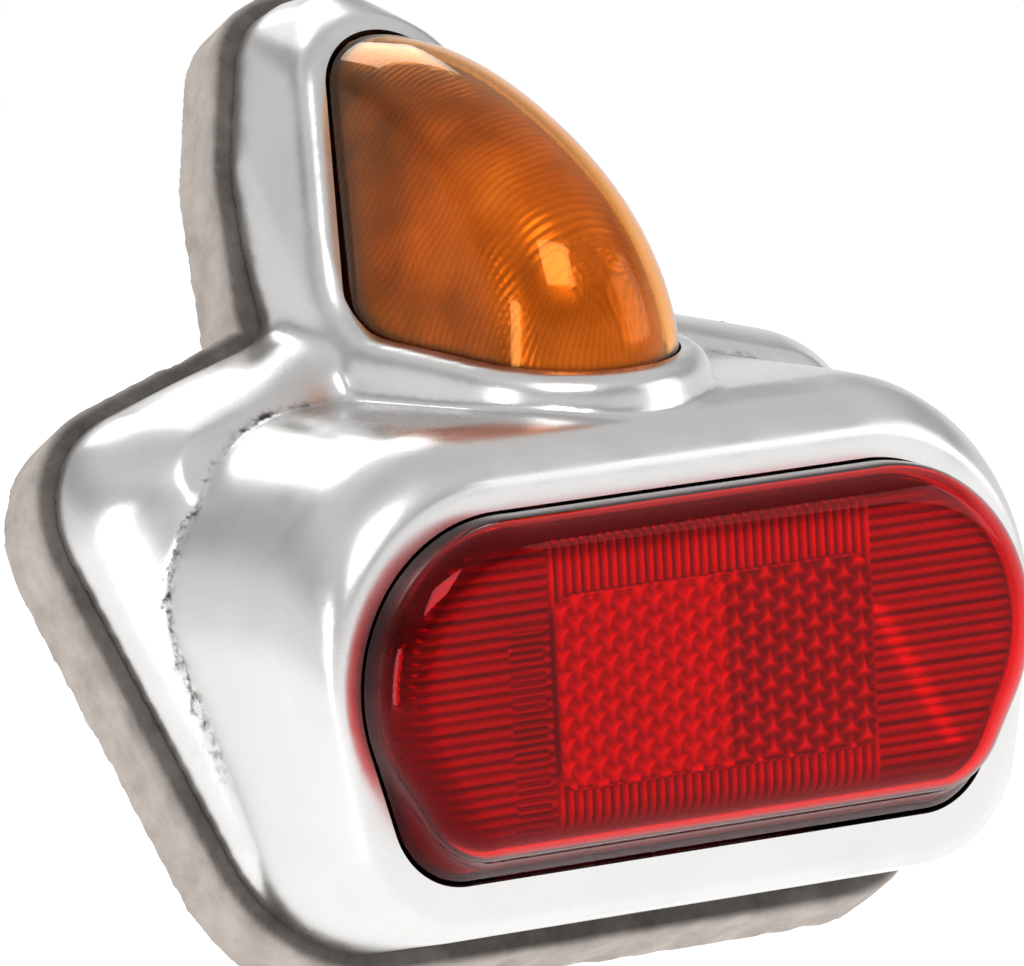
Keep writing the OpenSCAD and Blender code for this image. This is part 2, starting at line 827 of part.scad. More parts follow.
module partition_rivets() {
    color("gainsboro") in_base() both_sides() translate([foot_rivet_x, foot_rivet_v, pad_t])
        rivet(plate_t + partition_t);
}
partition_rivets();

socket_flange_t = 1;
module socket_rivets() {
    color("gainsboro") in_base() for (v = [tail_v, stop_v]) for (i = [-1, 1])
        translate([0, v + i * rivet_pitch, pad_t]) rivet(plate_t + socket_flange_t);
}
socket_rivets();

// Terminal block, leads and the grommet of the cable entry

module terminal_block() {
    color("saddlebrown") in_base() translate([block_x, block_v, plate_z]) difference() {
        translate([-block_w / 2, -block_d / 2, 0]) cube([block_w, block_d, block_h]);
        for (i = [-1, 1]) translate([i * terminal_x, 0, 0]) {
            translate([0, 0, -1]) cylinder(r = lead_r + 0.3, h = 4, $fn = 32);
            translate([0, 0, block_h - 4]) cylinder(d = 3 + 0.1, h = 5, $fn = 32);
        }
        translate([-0.6, -block_d, block_h - 2]) cube([1.2, block_d * 2, 3]);
    }
}
terminal_block();

module terminal_screws() {
    color("goldenrod") in_base() for (i = [-1, 1])
        translate([block_x + i * terminal_x, block_v, plate_z + block_h]) pan_screw(3, 3.8);
}
terminal_screws();

tongue_reach = 12.5;
tag_z = 3;
tag_t = 0.4;
lead_z = tag_z + tag_t + lead_r;

module lead_run(points) {
    for (i = [1:len(points) - 1]) hull() {
        translate(points[i - 1]) sphere(r = lead_r, $fn = 12);
        translate(points[i]) sphere(r = lead_r, $fn = 12);
    }
}

module tail_lead() {
    color("slategray") in_base() lead_run([[tongue_reach - 1, tail_v, lead_z], [15, tail_v + 1, lead_z],
        [block_x - terminal_x - 0.5, block_v - 3, lead_z], [block_x - terminal_x, block_v, lead_z + 1.5],
        [block_x - terminal_x, block_v, plate_z + 1.9]]);
}
tail_lead();

module stop_lead() {
    color("khaki") in_base() lead_run([[0, stop_v - tongue_reach + 1, lead_z], [4, stop_v - 15, lead_z],
        [20, 1, lead_z], [block_x + terminal_x - 1, block_v + 2, lead_z],
        [block_x + terminal_x, block_v, lead_z + 1.5], [block_x + terminal_x, block_v, plate_z + 1.9]]);
}
stop_lead();

module cable_grommet() {
    color("black") in_base() translate([grommet_x, grommet_v, pad_t]) difference() {
        union() {
            translate([0, 0, -1.2]) cylinder(r = grommet_r, h = plate_t + 2.4, $fn = 48);
            translate([0, 0, -1.2]) cylinder(r = grommet_r + 1.7, h = 1.2, $fn = 48);
            translate([0, 0, plate_t]) cylinder(r = grommet_r + 1.7, h = 1.2, $fn = 48);
        }
        translate([0, 0, -3]) cylinder(d = cable_d, h = 8, $fn = 48);
    }
}
cable_grommet();

// Bayonet sockets and bulbs; each stands on the base plate with its axis along the face's normal

slot_from = -9;
slot_turn = twist_angle + 18;
contact_h = 0.7;
insulator_z = shell_z + 0.4;
plunger_z = 8.4;
cap_z = plunger_z + contact_h;
pin_z = cap_z + pin_h;
slot_low = pin_z - pin_d / 2 - push_travel - 0.2;
slot_high = pin_z + pin_d / 2 + 0.2;
spring_r = 3.6;
spring_wire = 0.5;
stem_r = 1.93;

module at_socket(v, turn) { in_base() translate([0, v, 0]) rotate([0, 0, turn]) children(); }

module ring_sector(from, turn, r1, r2, low, high) {
    rotate([0, 0, from]) rotate_extrude(angle = turn, $fn = 96)
        translate([r1, low]) square([r2 - r1, high - low]);
}

module socket_shell(turn) {
    difference() {
        union() {
            translate([0, 0, shell_z]) cylinder(r = shell_r, h = shell_h, $fn = 72);
            translate([0, 0, plate_z]) cylinder(r = socket_flange_r, h = socket_flange_t, $fn = 72);
        }
        translate([0, 0, shell_z + 0.4]) cylinder(r = shell_r - shell_t, h = shell_h, $fn = 72);
        translate([0, 0, shell_z - 1]) cylinder(r = 6, h = 3, $fn = 48);
        for (a = [0, 180]) {
            ring_sector(a + slot_from, slot_turn, shell_r - 2, shell_r + 1, slot_low, slot_high);
            rotate([0, 0, a + twist_angle]) translate([shell_r - 2, -pin_d / 2 - 0.2, slot_low + 1])
                cube([4, pin_d + 0.4, shell_h]);
        }
        for (a = [90, 270]) rotate([0, 0, a]) translate([rivet_pitch, 0, plate_z - 1])
            cylinder(r = rivet_r + 0.02, h = 4, $fn = 24);
        rotate([0, 0, turn]) translate([0, -2.6, insulator_z + 1.6]) cube([shell_r + 1, 5.2, 1.2]);
    }
}

module socket_insulator() {
    translate([0, 0, insulator_z]) difference() {
        cylinder(r = shell_r - shell_t - 0.05, h = tag_z - insulator_z, $fn = 72);
        translate([0, 0, -1]) cylinder(r = stem_r + 0.06, h = 4, $fn = 32);
    }
}

module contact_tag() {
    translate([0, 0, tag_z]) difference() {
        union() {
            cylinder(r = 5.6, h = tag_t, $fn = 48);
            translate([0, -2, 0]) cube([tongue_reach, 4, tag_t]);
        }
        translate([0, 0, -1]) cylinder(r = stem_r + 0.4, h = 3, $fn = 32);
    }
}

// A round wire wound about the z axis, from z = 0 to z = height
coil_turns = 3;
coil_steps = 16;
coil_sides = 8;
module coil(r, wire, height) {
    count = coil_turns * coil_steps;
    points = [for (i = [0:count]) let (a = 360 * i / coil_steps, z = wire / 2 + (height - wire) * i / count)
        for (j = [0:coil_sides - 1]) let (b = 360 * j / coil_sides, s = r + wire / 2 * cos(b))
            [s * cos(a), s * sin(a), z + wire / 2 * sin(b)]];
    sides = [for (i = [0:count - 1]) for (j = [0:coil_sides - 1]) let (k = (j + 1) % coil_sides)
        [i * coil_sides + j, i * coil_sides + k, (i + 1) * coil_sides + k, (i + 1) * coil_sides + j]];
    start = [for (j = [0:coil_sides - 1]) coil_sides - 1 - j];
    finish = [for (j = [0:coil_sides - 1]) count * coil_sides + j];
    polyhedron(points, concat([start], sides, [finish]));
}

module contact_spring() {
    translate([0, 0, tag_z + tag_t]) coil(spring_r, spring_wire, plunger_z - 1 - tag_z - tag_t);
}

module contact_plunger() {
    translate([0, 0, plunger_z - 1]) cylinder(r = spring_r + 1, h = 1, $fn = 48);
    translate([0, 0, insulator_z + 1.2]) cylinder(r = stem_r, h = plunger_z - insulator_z - 1.7, $fn = 32);
}

cap_t = 0.5;
cap_floor = 1.2;
module bulb_cap() {
    difference() {
        translate([0, 0, cap_z]) cylinder(d = cap_d, h = cap_h, $fn = 72);
        translate([0, 0, cap_z + cap_floor]) cylinder(d = cap_d - 2 * cap_t, h = cap_h, $fn = 72);
        translate([0, 0, cap_z - 1]) cylinder(r = 2.45, h = 4, $fn = 32);
    }
    for (a = [0, 180]) rotate([0, 0, a]) translate([cap_d / 2 - cap_t + 0.1, 0, pin_z]) rotate([0, 90, 0])
        cylinder(d = pin_d, h = 1.5, $fn = 24);
}

module bulb_contact() {
    translate([0, 0, plunger_z]) {
        translate([0, 0, 0.3]) cylinder(r = 2.4, h = contact_h + cap_floor - 0.3, $fn = 32);
        cylinder(r1 = 1.9, r2 = 2.4, h = 0.3, $fn = 32);
    }
}

glass_t = 0.7;
neck_glass_r = cap_d / 2 - cap_t - 0.3;
glass_z = plunger_z + bulb_len - glass_d / 2;
module glass_form(inset) {
    translate([0, 0, glass_z]) sphere(r = glass_d / 2 - inset, $fn = 32);
    translate([0, 0, cap_z + cap_floor + inset]) cylinder(r = neck_glass_r - inset,
        h = glass_z - cap_z - cap_floor - inset, $fn = 32);
}

module bulb_glass() {
    difference() {
        glass_form(0);
        glass_form(glass_t);
        translate([0, 0, cap_z]) cylinder(r = 2.2, h = 4, $fn = 32);
    }
}

filament_z = glass_z - 1.5;
module bulb_filament() {
    for (i = [-1, 1]) translate([i * 1.8, 0, cap_z + cap_floor])
        cylinder(r = 0.3, h = filament_z - cap_z - cap_floor, $fn = 16);
    translate([-3, 0, filament_z]) rotate([0, 90, 0]) cylinder(r = 0.5, h = 6, $fn = 24);
    translate([0, 0, cap_z + cap_floor + 4]) cylinder(r = 3.6, h = 1.8, $fn = 24);
}

// The tail bulb stands low, the stop bulb high; each lead tongue turns towards the terminal block

tail_turn = 0;
stop_turn = -90;

module tail_socket_shell() { color("peru") at_socket(tail_v, 0) socket_shell(tail_turn); }
tail_socket_shell();

module tail_socket_insulator() { color("saddlebrown") at_socket(tail_v, 0) socket_insulator(); }
tail_socket_insulator();

module tail_contact_tag() { color("goldenrod") at_socket(tail_v, tail_turn) contact_tag(); }
tail_contact_tag();

module tail_contact_spring() { color("gainsboro") at_socket(tail_v, 0) contact_spring(); }
tail_contact_spring();

module tail_contact_plunger() { color("goldenrod") at_socket(tail_v, 0) contact_plunger(); }
tail_contact_plunger();

module tail_bulb_cap() { color("gold") at_socket(tail_v, 0) bulb_cap(); }
tail_bulb_cap();

module tail_bulb_contact() { color("gray") at_socket(tail_v, 0) bulb_contact(); }
tail_bulb_contact();

module tail_bulb_glass() { color("lightcyan") at_socket(tail_v, 0) bulb_glass(); }
tail_bulb_glass();

module tail_bulb_filament() { color("dimgray") at_socket(tail_v, 0) bulb_filament(); }
tail_bulb_filament();

module stop_socket_shell() { color("peru") at_socket(stop_v, 0) socket_shell(stop_turn); }
stop_socket_shell();

module stop_socket_insulator() { color("saddlebrown") at_socket(stop_v, 0) socket_insulator(); }
stop_socket_insulator();

module stop_contact_tag() { color("goldenrod") at_socket(stop_v, stop_turn) contact_tag(); }
stop_contact_tag();

module stop_contact_spring() { color("gainsboro") at_socket(stop_v, 0) contact_spring(); }
stop_contact_spring();

module stop_contact_plunger() { color("goldenrod") at_socket(stop_v, 0) contact_plunger(); }
stop_contact_plunger();

module stop_bulb_cap() { color("gold") at_socket(stop_v, 0) bulb_cap(); }
stop_bulb_cap();

module stop_bulb_contact() { color("gray") at_socket(stop_v, 0) bulb_contact(); }
stop_bulb_contact();

module stop_bulb_glass() { color("lightcyan") at_socket(stop_v, 0) bulb_glass(); }
stop_bulb_glass();

module stop_bulb_filament() { color("dimgray") at_socket(stop_v, 0) bulb_filament(); }
stop_bulb_filament();
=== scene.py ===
"""Scooter tail light: polished cast housing, red rear lens, amber stop lens, rubber base pad.

Laid out as a Blender add-on: one operator per piece or group of like pieces, and one for the stage.
Shapes are computed from the CAD model's sizes, in millimetres, and built in metres. Comments say where
they differ.
"""
import itertools
import json
import math

import bmesh
import bpy
import numpy as np
from mathutils import Matrix, Vector
from mathutils.bvhtree import BVHTree


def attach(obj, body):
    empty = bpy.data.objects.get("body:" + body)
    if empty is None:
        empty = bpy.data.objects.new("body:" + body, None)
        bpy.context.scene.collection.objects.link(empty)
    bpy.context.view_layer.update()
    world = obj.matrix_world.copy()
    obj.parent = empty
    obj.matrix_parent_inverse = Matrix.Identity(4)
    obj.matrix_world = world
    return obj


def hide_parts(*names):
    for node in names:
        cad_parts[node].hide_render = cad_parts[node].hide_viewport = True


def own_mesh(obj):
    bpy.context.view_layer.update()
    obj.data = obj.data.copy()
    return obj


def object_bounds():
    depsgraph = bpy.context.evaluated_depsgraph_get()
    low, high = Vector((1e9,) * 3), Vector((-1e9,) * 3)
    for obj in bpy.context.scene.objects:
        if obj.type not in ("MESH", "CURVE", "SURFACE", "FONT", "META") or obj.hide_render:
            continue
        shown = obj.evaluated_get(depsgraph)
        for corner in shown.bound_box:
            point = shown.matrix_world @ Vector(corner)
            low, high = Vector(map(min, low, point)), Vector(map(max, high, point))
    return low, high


bl_info = {
    "name": "Scooter tail light",
    "version": (1, 0, 0),
    "blender": (4, 5, 0),
    "location": "View3D > Sidebar > Tail light",
    "description": "Builds a scooter tail light with a cast housing, two lenses and a rubber pad",
    "category": "Object",
}

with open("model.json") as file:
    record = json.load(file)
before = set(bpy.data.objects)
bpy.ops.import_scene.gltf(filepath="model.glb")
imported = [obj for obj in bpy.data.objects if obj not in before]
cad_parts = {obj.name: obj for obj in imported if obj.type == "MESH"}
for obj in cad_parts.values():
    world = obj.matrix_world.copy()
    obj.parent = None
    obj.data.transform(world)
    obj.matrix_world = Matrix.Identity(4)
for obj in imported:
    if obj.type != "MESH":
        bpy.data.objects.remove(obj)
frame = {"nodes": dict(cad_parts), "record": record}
CAD_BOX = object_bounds()

MM = 0.001

# Sizes shared with the CAD model, in millimetres and degrees
TILT = math.radians(30)
UP_FACE = np.array([0, math.sin(TILT), math.cos(TILT)])
OUT_OF_FACE = np.array([0, -math.cos(TILT), math.sin(TILT)])
RIM_REACH, RIM_RISE = 42.0, 3.0
FOOT_W, SHOULDER_R, SHOULDER_V = 97.8, 13.0, 9.5
CORNER_W, CORNER_R, FOOT_DROP = 86.0, 15.0, 39.5
COLLAR_W, COLLAR_TOP, COLLAR_R = 36.0, 30.0, 6.0
HEAD_W, HEAD_MID_W, HEAD_TOP, HEAD_TOP_R = 34.2, 27.4, 65.0, 9.0
HEAD_ROOT_V, HEAD_ROOT_R, HEAD_MID_R = COLLAR_TOP + 1, 5.8, 6.0
HEAD_MID_V = (HEAD_ROOT_V + HEAD_TOP) / 2 - 2
PAD_T, PAD_LIP, PAD_RING = 7.5, 2.1, 7.0
WALL, SKIRT_H, SKIRT_DRAW, HEAD_H = 2.2, 13.0, 8.0, 13.5
ARCH_W = PAD_T + HEAD_H
RIM_W, RIM_TOP, RIM_BOTTOM, RIM_TOP_R, RIM_BOTTOM_R = 86.0, 15.3, 29.6, 20.0, 12.0
# the photograph shows the rim 4 mm wider along its foot than the CAD model, which takes 9 mm off here
RIM_LOW_W = RIM_W - 5
BAND, BAND_BOTTOM = 2.7, 4.8
LOW_BAND = (BAND + BAND_BOTTOM) / 2 - 0.55
HOOD_RISE, HOOD_SWELL, HOOD_DROP = 5.4, 1.5, 3.6
LIP_T = 2.4
NOSE_R, NOSE_Y, NOSE_Z, LIP_SLOPE = 12.0, 19.5, 24.0, math.radians(7)
NOSE_TIP_Y, NOSE_ROOT_Y = NOSE_Y - NOSE_R, 33.0
LIP_W, OPEN_HALF, ARCH_TOP, ARCH_R = 3.0, 14.8, 56.0, 8.0
ARCH_ROOT_V, ARCH_ROOT_R = 26.0, 5.0
# the lenses sit closer in their openings than the 0.4 mm of the CAD model
RED_PROUD, RED_EDGE_R, LENS_GAP = 7.0, 4.5, 0.2
# the red lens's lower wall slopes in towards the front, which the CAD model leaves out
RED_LOWER_DRAFT = 2.4
# back edge of the red lens, the skins' thickness, and where the moulded optics lie behind the skins
RED_BACK, SKIN_T, OPTICS_INSET, OPTICS_Y = 5.3, 1.1, 1.5, -4.7
RED_FLANGE_W, AMBER_FLANGE_W, FLANGE_T, SEAL_T = 1.0, 2.0, 2.0, 1.0
DOME_DRAW, DOME_Y = 7.0, 35.5
ROOF_Z = RIM_TOP + HOOD_RISE * 0.96 - WALL - 0.3
AMBER_FLANGE_Z = ROOF_Z - SEAL_T - FLANGE_T
WINDOW_W, WINDOW_D, WINDOW_Y = 40.0, 7.0, 7.505
FLOOR_Z = RIM_BOTTOM + HOOD_DROP * 0.5 - WALL
WINDOW_PAD_Z = FLOOR_Z - 1.5
SCREW_SPOTS = ((-35.0, -28.0, 14.0), (35.0, -28.0, 14.0), (0.0, 54.0, 7.0))


# Frames: the base frame lies on the tilted mounting face, the rim frame stands on the red rim

def base_points(x, v, w):
    """Mounting-face coordinates to the row frame, in millimetres."""
    x, v, w = np.broadcast_arrays(np.asarray(x, float), v, w)
    return np.stack([x, v * math.sin(TILT) - w * math.cos(TILT),
                     v * math.cos(TILT) + w * math.sin(TILT)], axis=-1).reshape(-1, 3)


def rim_points(x, y, z):
    """Rim coordinates to the row frame, in millimetres."""
    x, y, z = np.broadcast_arrays(np.asarray(x, float), y, z)
    return np.stack([x, y - RIM_REACH, z + RIM_RISE], axis=-1).reshape(-1, 3)


def at_w(flat, w):
    """A flat outline laid parallel to the mounting face, at height w over it."""
    return base_points(flat[:, 0], flat[:, 1], w)


def at_y(flat, y):
    """A flat outline stood up parallel to the rim, at depth y behind it."""
    return rim_points(flat[:, 0], y, flat[:, 1])


def at_z(flat, z):
    """A flat outline laid level in the rim frame, at height z."""
    return rim_points(flat[:, 0], flat[:, 1], z)


# Outlines: each is a list of discs (x, y, radius), and its shape is their convex hull

def mirrored(discs):
    """The discs and their mirror images across x = 0."""
    return [d for x, y, r in discs for d in (((x, y, r), (-x, y, r)) if x else ((x, y, r),))]


def drawn_in(discs, inset):
    """Draws each disc in by inset; one that has become too small moves instead."""
    out = []
    for x, y, r in discs:
        left = max(r - inset, 0.6)
        move = inset - (r - left)
        out.append((x - move * np.sign(x), y - move * np.sign(y), left))
    return out


FOOT = mirrored([(CORNER_W / 2 - CORNER_R, CORNER_R - FOOT_DROP, CORNER_R),
                 (FOOT_W / 2 - SHOULDER_R, SHOULDER_V, SHOULDER_R),
                 (COLLAR_W / 2 - COLLAR_R, COLLAR_TOP - COLLAR_R, COLLAR_R)])
HEAD = mirrored([(HEAD_W / 2 - HEAD_ROOT_R, HEAD_ROOT_V, HEAD_ROOT_R),
                 (HEAD_MID_W / 2 - HEAD_MID_R, HEAD_MID_V, HEAD_MID_R),
                 (0.0, HEAD_TOP - HEAD_TOP_R, HEAD_TOP_R)])
PAD_NECK = mirrored([(HEAD_W / 2 - PAD_RING - 1.6, v, 1.0) for v in (COLLAR_TOP - 9, COLLAR_TOP + 4)])
ARCH = mirrored([(OPEN_HALF - ARCH_ROOT_R, ARCH_ROOT_V, ARCH_ROOT_R), (0.0, ARCH_TOP - ARCH_R, ARCH_R)])
NOSE = mirrored([(OPEN_HALF - ARCH_ROOT_R, NOSE_ROOT_Y, ARCH_ROOT_R), (0.0, NOSE_Y, NOSE_R)])
LOW_R = RIM_BOTTOM_R - LOW_BAND
OPENING = mirrored([(RIM_W / 2 - RIM_TOP_R, RIM_TOP - RIM_TOP_R, RIM_TOP_R - BAND),
                    (RIM_LOW_W / 2 - RIM_BOTTOM_R, LOW_R - RIM_BOTTOM + BAND_BOTTOM, LOW_R)])


def grown(discs, grow):
    """The discs with grow added to every radius."""
    return [(x, y, r + grow) for x, y, r in discs]


def circle_of(count, start=0.0):
    """Unit vectors all round, anticlockwise."""
    turn = np.linspace(0, 2 * math.pi, count, endpoint=False) + start
    return np.stack([np.cos(turn), np.sin(turn)], axis=1)


def ring_of(discs, count=96):
    """Points all round each disc, as an array of x, y pairs."""
    circle = circle_of(count)
    return np.concatenate([np.array([x, y]) + r * circle for x, y, r in discs])


def stacked(discs, levels, place, count=96):
    """The discs' outline at each level, set up by at_w, at_y or at_z."""
    ring = ring_of(discs, count)
    return np.vstack([place(ring, level) for level in levels])


def outline_of(discs, count):
    """The hull of the discs as evenly spaced points, anticlockwise from the top."""
    normal = circle_of(2880, math.pi / 2)
    discs = np.array(discs)
    best = discs[np.argmax(normal @ discs[:, :2].T + discs[:, 2], axis=1)]
    points = best[:, :2] + best[:, 2:] * normal
    points = np.vstack([points, points[:1]])
    along = np.concatenate([[0], np.cumsum(np.linalg.norm(np.diff(points, axis=0), axis=1))])
    at = np.linspace(0, along[-1], count, endpoint=False)
    return np.stack([np.interp(at, along, points[:, 0]), np.interp(at, along, points[:, 1])], axis=1)


def inside_by(points, discs):
    """How far each point lies inside the hull of the discs; negative outside."""
    normal = circle_of(240)
    discs = np.array(discs)
    support = (normal @ discs[:, :2].T + discs[:, 2]).max(axis=1)
    return np.concatenate([(support - part @ normal.T).min(axis=1) for part in np.array_split(points, 16)])


# Mesh helpers

def link(name, data):
    """Puts a mesh, light or camera in the scene as a new object."""
    made = bpy.data.objects.new(name, data)
    bpy.context.scene.collection.objects.link(made)
    return made


def link_outward(name, work, mesh):
    """Puts a finished bmesh in the scene, with its faces turned outward."""
    bmesh.ops.recalc_face_normals(work, faces=work.faces)
    work.to_mesh(mesh)
    work.free()
    return link(name, mesh)


def mesh_object(name, points, faces):
    """An object from points in millimetres and lists of indices."""
    mesh = bpy.data.meshes.new(name)
    mesh.from_pydata((np.asarray(points) * MM).tolist(), [], faces)
    work = bmesh.new()
    work.from_mesh(mesh)
    return link_outward(name, work, mesh)


def hull_object(name, points):
    """The convex hull of points in millimetres, as a closed object."""
    work = bmesh.new()
    for p in np.unique(np.round(points * MM, 7), axis=0):
        work.verts.new(p)
    made = bmesh.ops.convex_hull(work, input=work.verts, use_existing_faces=False)
    spare = {v for v in made["geom_interior"] + made["geom_unused"] if isinstance(v, bmesh.types.BMVert)}
    bmesh.ops.delete(work, geom=list(spare), context="VERTS")
    return link_outward(name, work, bpy.data.meshes.new(name))


def discard(obj):
    """Removes a helper object and its mesh."""
    mesh = obj.data
    bpy.data.objects.remove(obj)
    bpy.data.meshes.remove(mesh)


def apply_modifiers(obj):
    """Bakes an object's modifiers into its mesh."""
    graph = bpy.context.evaluated_depsgraph_get()
    old = obj.data
    new = bpy.data.meshes.new_from_object(obj.evaluated_get(graph))
    obj.modifiers.clear()
    obj.data = new
    bpy.data.meshes.remove(old)


def joined(name, parts):
    """One object that holds all parts' meshes, which are discarded."""
    work = bmesh.new()
    for part in parts:
        work.from_mesh(part.data)
    mesh = bpy.data.meshes.new(name)
    work.to_mesh(mesh)
    work.free()
    for part in parts:
        discard(part)
    return link(name, mesh)


def remeshed(obj, voxel, rounds):
    """Fuses the overlapping bodies into one even surface and smooths it, voxel in millimetres."""
    remesh = obj.modifiers.new("fuse", "REMESH")
    remesh.mode, remesh.voxel_size = "VOXEL", voxel * MM
    smooth = obj.modifiers.new("smooth", "SMOOTH")
    smooth.factor, smooth.iterations = 0.5, rounds
    apply_modifiers(obj)
    return obj


def blend(obj, weight, rounds):
    """Smooths an object's surface where the weight of its vertices is high."""
    group = obj.vertex_groups.new(name="blend")
    for i in np.flatnonzero(weight > 0.02):
        group.add([int(i)], float(weight[i]), "REPLACE")
    smooth = obj.modifiers.new("blend", "SMOOTH")
    smooth.factor, smooth.iterations, smooth.vertex_group = 0.5, rounds, group.name
    apply_modifiers(obj)
    obj.vertex_groups.clear()


def cut(obj, tool, operation="DIFFERENCE"):
    """Boolean of two closed meshes; the tool is used up."""
    boolean = obj.modifiers.new("cut", "BOOLEAN")
    boolean.operation, boolean.solver, boolean.object = operation, "MANIFOLD", tool
    apply_modifiers(obj)
    discard(tool)


def box_object(name, low, high, place):
    """A box between two corners in a frame's coordinates."""
    corners = np.array(list(itertools.product(*zip(low, high))))
    return hull_object(name, place(*corners.T))


def rod_object(name, x, v, radius, low, high):
    """A rod along the mounting face's normal."""
    return hull_object(name, stacked([(x, v, radius)], (low, high), at_w, 48))


def shade(obj, angle):
    """Smooth shading, with edges sharper than angle (degrees) kept."""
    obj.data.shade_smooth()
    obj.data.set_sharp_from_angle(angle=math.radians(angle))


def vectors(obj, key):
    """A vector of each vertex, such as its normal."""
    flat = np.empty(len(obj.data.vertices) * 3)
    obj.data.vertices.foreach_get(key, flat)
    return flat.reshape(-1, 3)


def coords(obj):
    """The object's vertices in millimetres."""
    return vectors(obj, "co") / MM


def set_coords(obj, points):
    """Writes the object's vertices, in millimetres."""
    obj.data.vertices.foreach_set("co", (points * MM).ravel())
    obj.data.update()


def set_attribute(obj, name, values):
    """A float attribute on the vertices, for the material to read."""
    layer = obj.data.attributes.new(name, "FLOAT", "POINT")
    layer.data.foreach_set("value", np.asarray(values, dtype=np.float32))


def ripple(points, sizes, seed):
    """Smooth random waves over space, about -1 to 1; sizes are wavelengths in millimetres."""
    rng = np.random.default_rng(seed)
    total = np.zeros(len(points))
    for size in sizes:
        for _ in range(6):
            way = rng.normal(size=3)
            way *= 2 * math.pi / (size * np.linalg.norm(way))
            total += np.sin(points @ way + rng.uniform(0, 2 * math.pi))
    return total / (2.5 * math.sqrt(len(sizes)))


# Materials, and the kinds of node that they use most

NOISE, RAMP, RANGE = "ShaderNodeTexNoise", "ShaderNodeValToRGB", "ShaderNodeMapRange"
BUMP, MATH = "ShaderNodeBump", "ShaderNodeMath"


def linear(text):
    """An sRGB hex colour as linear RGBA."""
    parts = [int(text[i:i + 2], 16) / 255 for i in (1, 3, 5)]
    return tuple(c / 12.92 if c <= 0.04045 else ((c + 0.055) / 1.055) ** 2.4 for c in parts) + (1.0,)


def add(tree, kind, inputs=None, stops=(), **settings):
    """Adds a node.

    An input takes a value, or a socket or node to link. A ramp takes (place, colour) stops.
    """
    made = tree.nodes.new(kind)
    for key, value in settings.items():
        setattr(made, key, value)
    for key, value in (inputs or {}).items():
        if isinstance(value, bpy.types.Node):
            value = next(o for o in value.outputs if o.enabled)
        if isinstance(value, bpy.types.NodeSocket):
            tree.links.new(value, made.inputs[key])
        else:
            made.inputs[key].default_value = value
    for i, (place, colour) in enumerate(stops):
        band = made.color_ramp.elements
        stop = band[i] if i < 2 else band.new(place)
        stop.position, stop.color = place, linear(colour) if isinstance(colour, str) else colour
    return made


def new_material(name, colour, roughness, metallic=0.0, **extra):
    """A Principled material; returns it with its tree, its shader and the object's own coordinates."""
    made = bpy.data.materials.new(name)
    made.use_nodes = True
    tree = made.node_tree
    shader = tree.nodes["Principled BSDF"]
    for key, value in {"Base Color": colour, "Roughness": roughness, "Metallic": metallic, **extra}.items():
        shader.inputs[key].default_value = value
    made.diffuse_color = colour
    return made, tree, shader, add(tree, "ShaderNodeTexCoord").outputs["Object"]


def wire(tree, shader, **links):
    """Links nodes to the shader's inputs; Base_Color stands for Base Color."""
    for key, node in links.items():
        tree.links.new(next(o for o in node.outputs if o.enabled), shader.inputs[key.replace("_", " ")])


def per(size):
    """A texture scale whose features are size millimetres apart."""
    return 1 / (size * MM)


def tone(colour, factor):
    """A lighter or darker form of a linear colour."""
    return tuple(min(c * factor, 1.0) for c in colour[:3]) + (1.0,)


def chosen(name):
    """A setting of the panel; a colour comes as RGBA."""
    value = getattr(bpy.context.scene.tail_light, name)
    return value if isinstance(value, (int, float)) else tuple(value) + (1.0,)


def chosen_mm(name):
    """A length of the panel, in millimetres."""
    return chosen(name) / MM


def polished_aluminium():
    """Cast aluminium, linished and polished by hand: bright, with soft waves in its reflections."""
    colour = chosen("casting_colour")
    made, tree, shader, place = new_material("polished_cast_aluminium", colour, 0.2, metallic=1.0)
    seam = add(tree, "ShaderNodeAttribute", attribute_name="seam").outputs["Fac"]
    haze = add(tree, NOISE, {"Vector": place, "Scale": per(9), "Detail": 4.0})
    # casting pores along the crease are about half a millimetre across
    pores = add(tree, NOISE, {"Vector": place, "Scale": per(1.1), "Detail": 2.0, "Roughness": 0.6})
    open_pores = add(tree, RANGE, {"Value": pores, "From Min": 0.42, "From Max": 0.66})
    pits_and_shade = add(tree, MATH, {0: seam, 1: open_pores}, operation="MULTIPLY")
    # polishing haze comes and goes in patches; the pits along the crease are pores in roughness and bump, and
    # painted shade in colour
    haze_rough = add(tree, RANGE, {"Value": haze, "From Min": 0.35, "From Max": 0.7,
                                   "To Min": 0.22, "To Max": 0.33})
    rough = add(tree, MATH, {0: pits_and_shade, 1: 0.4, 2: haze_rough}, operation="MULTIPLY_ADD")
    clean = add(tree, RAMP, {"Fac": haze}, [(0.3, tone(colour, 0.95)), (0.6, tone(colour, 1.02))])
    paint = add(tree, "ShaderNodeMix", {"Factor": pits_and_shade, "A": clean, "B": linear("#4A4845")}, data_type="RGBA")
    waves = add(tree, NOISE, {"Vector": place, "Scale": per(16), "Detail": 2.0, "Roughness": 0.4})
    wavy = add(tree, BUMP, {"Height": waves, "Distance": 0.045 * MM})
    fine = add(tree, NOISE, {"Vector": place, "Scale": per(0.6), "Detail": 3.0})
    grain = add(tree, BUMP, {"Height": fine, "Distance": 0.004 * MM, "Normal": wavy})
    sunk = add(tree, BUMP, {"Height": pits_and_shade, "Distance": 0.018 * MM, "Normal": grain}, invert=True)
    wire(tree, shader, Base_Color=paint, Roughness=rough, Normal=sunk)
    return made


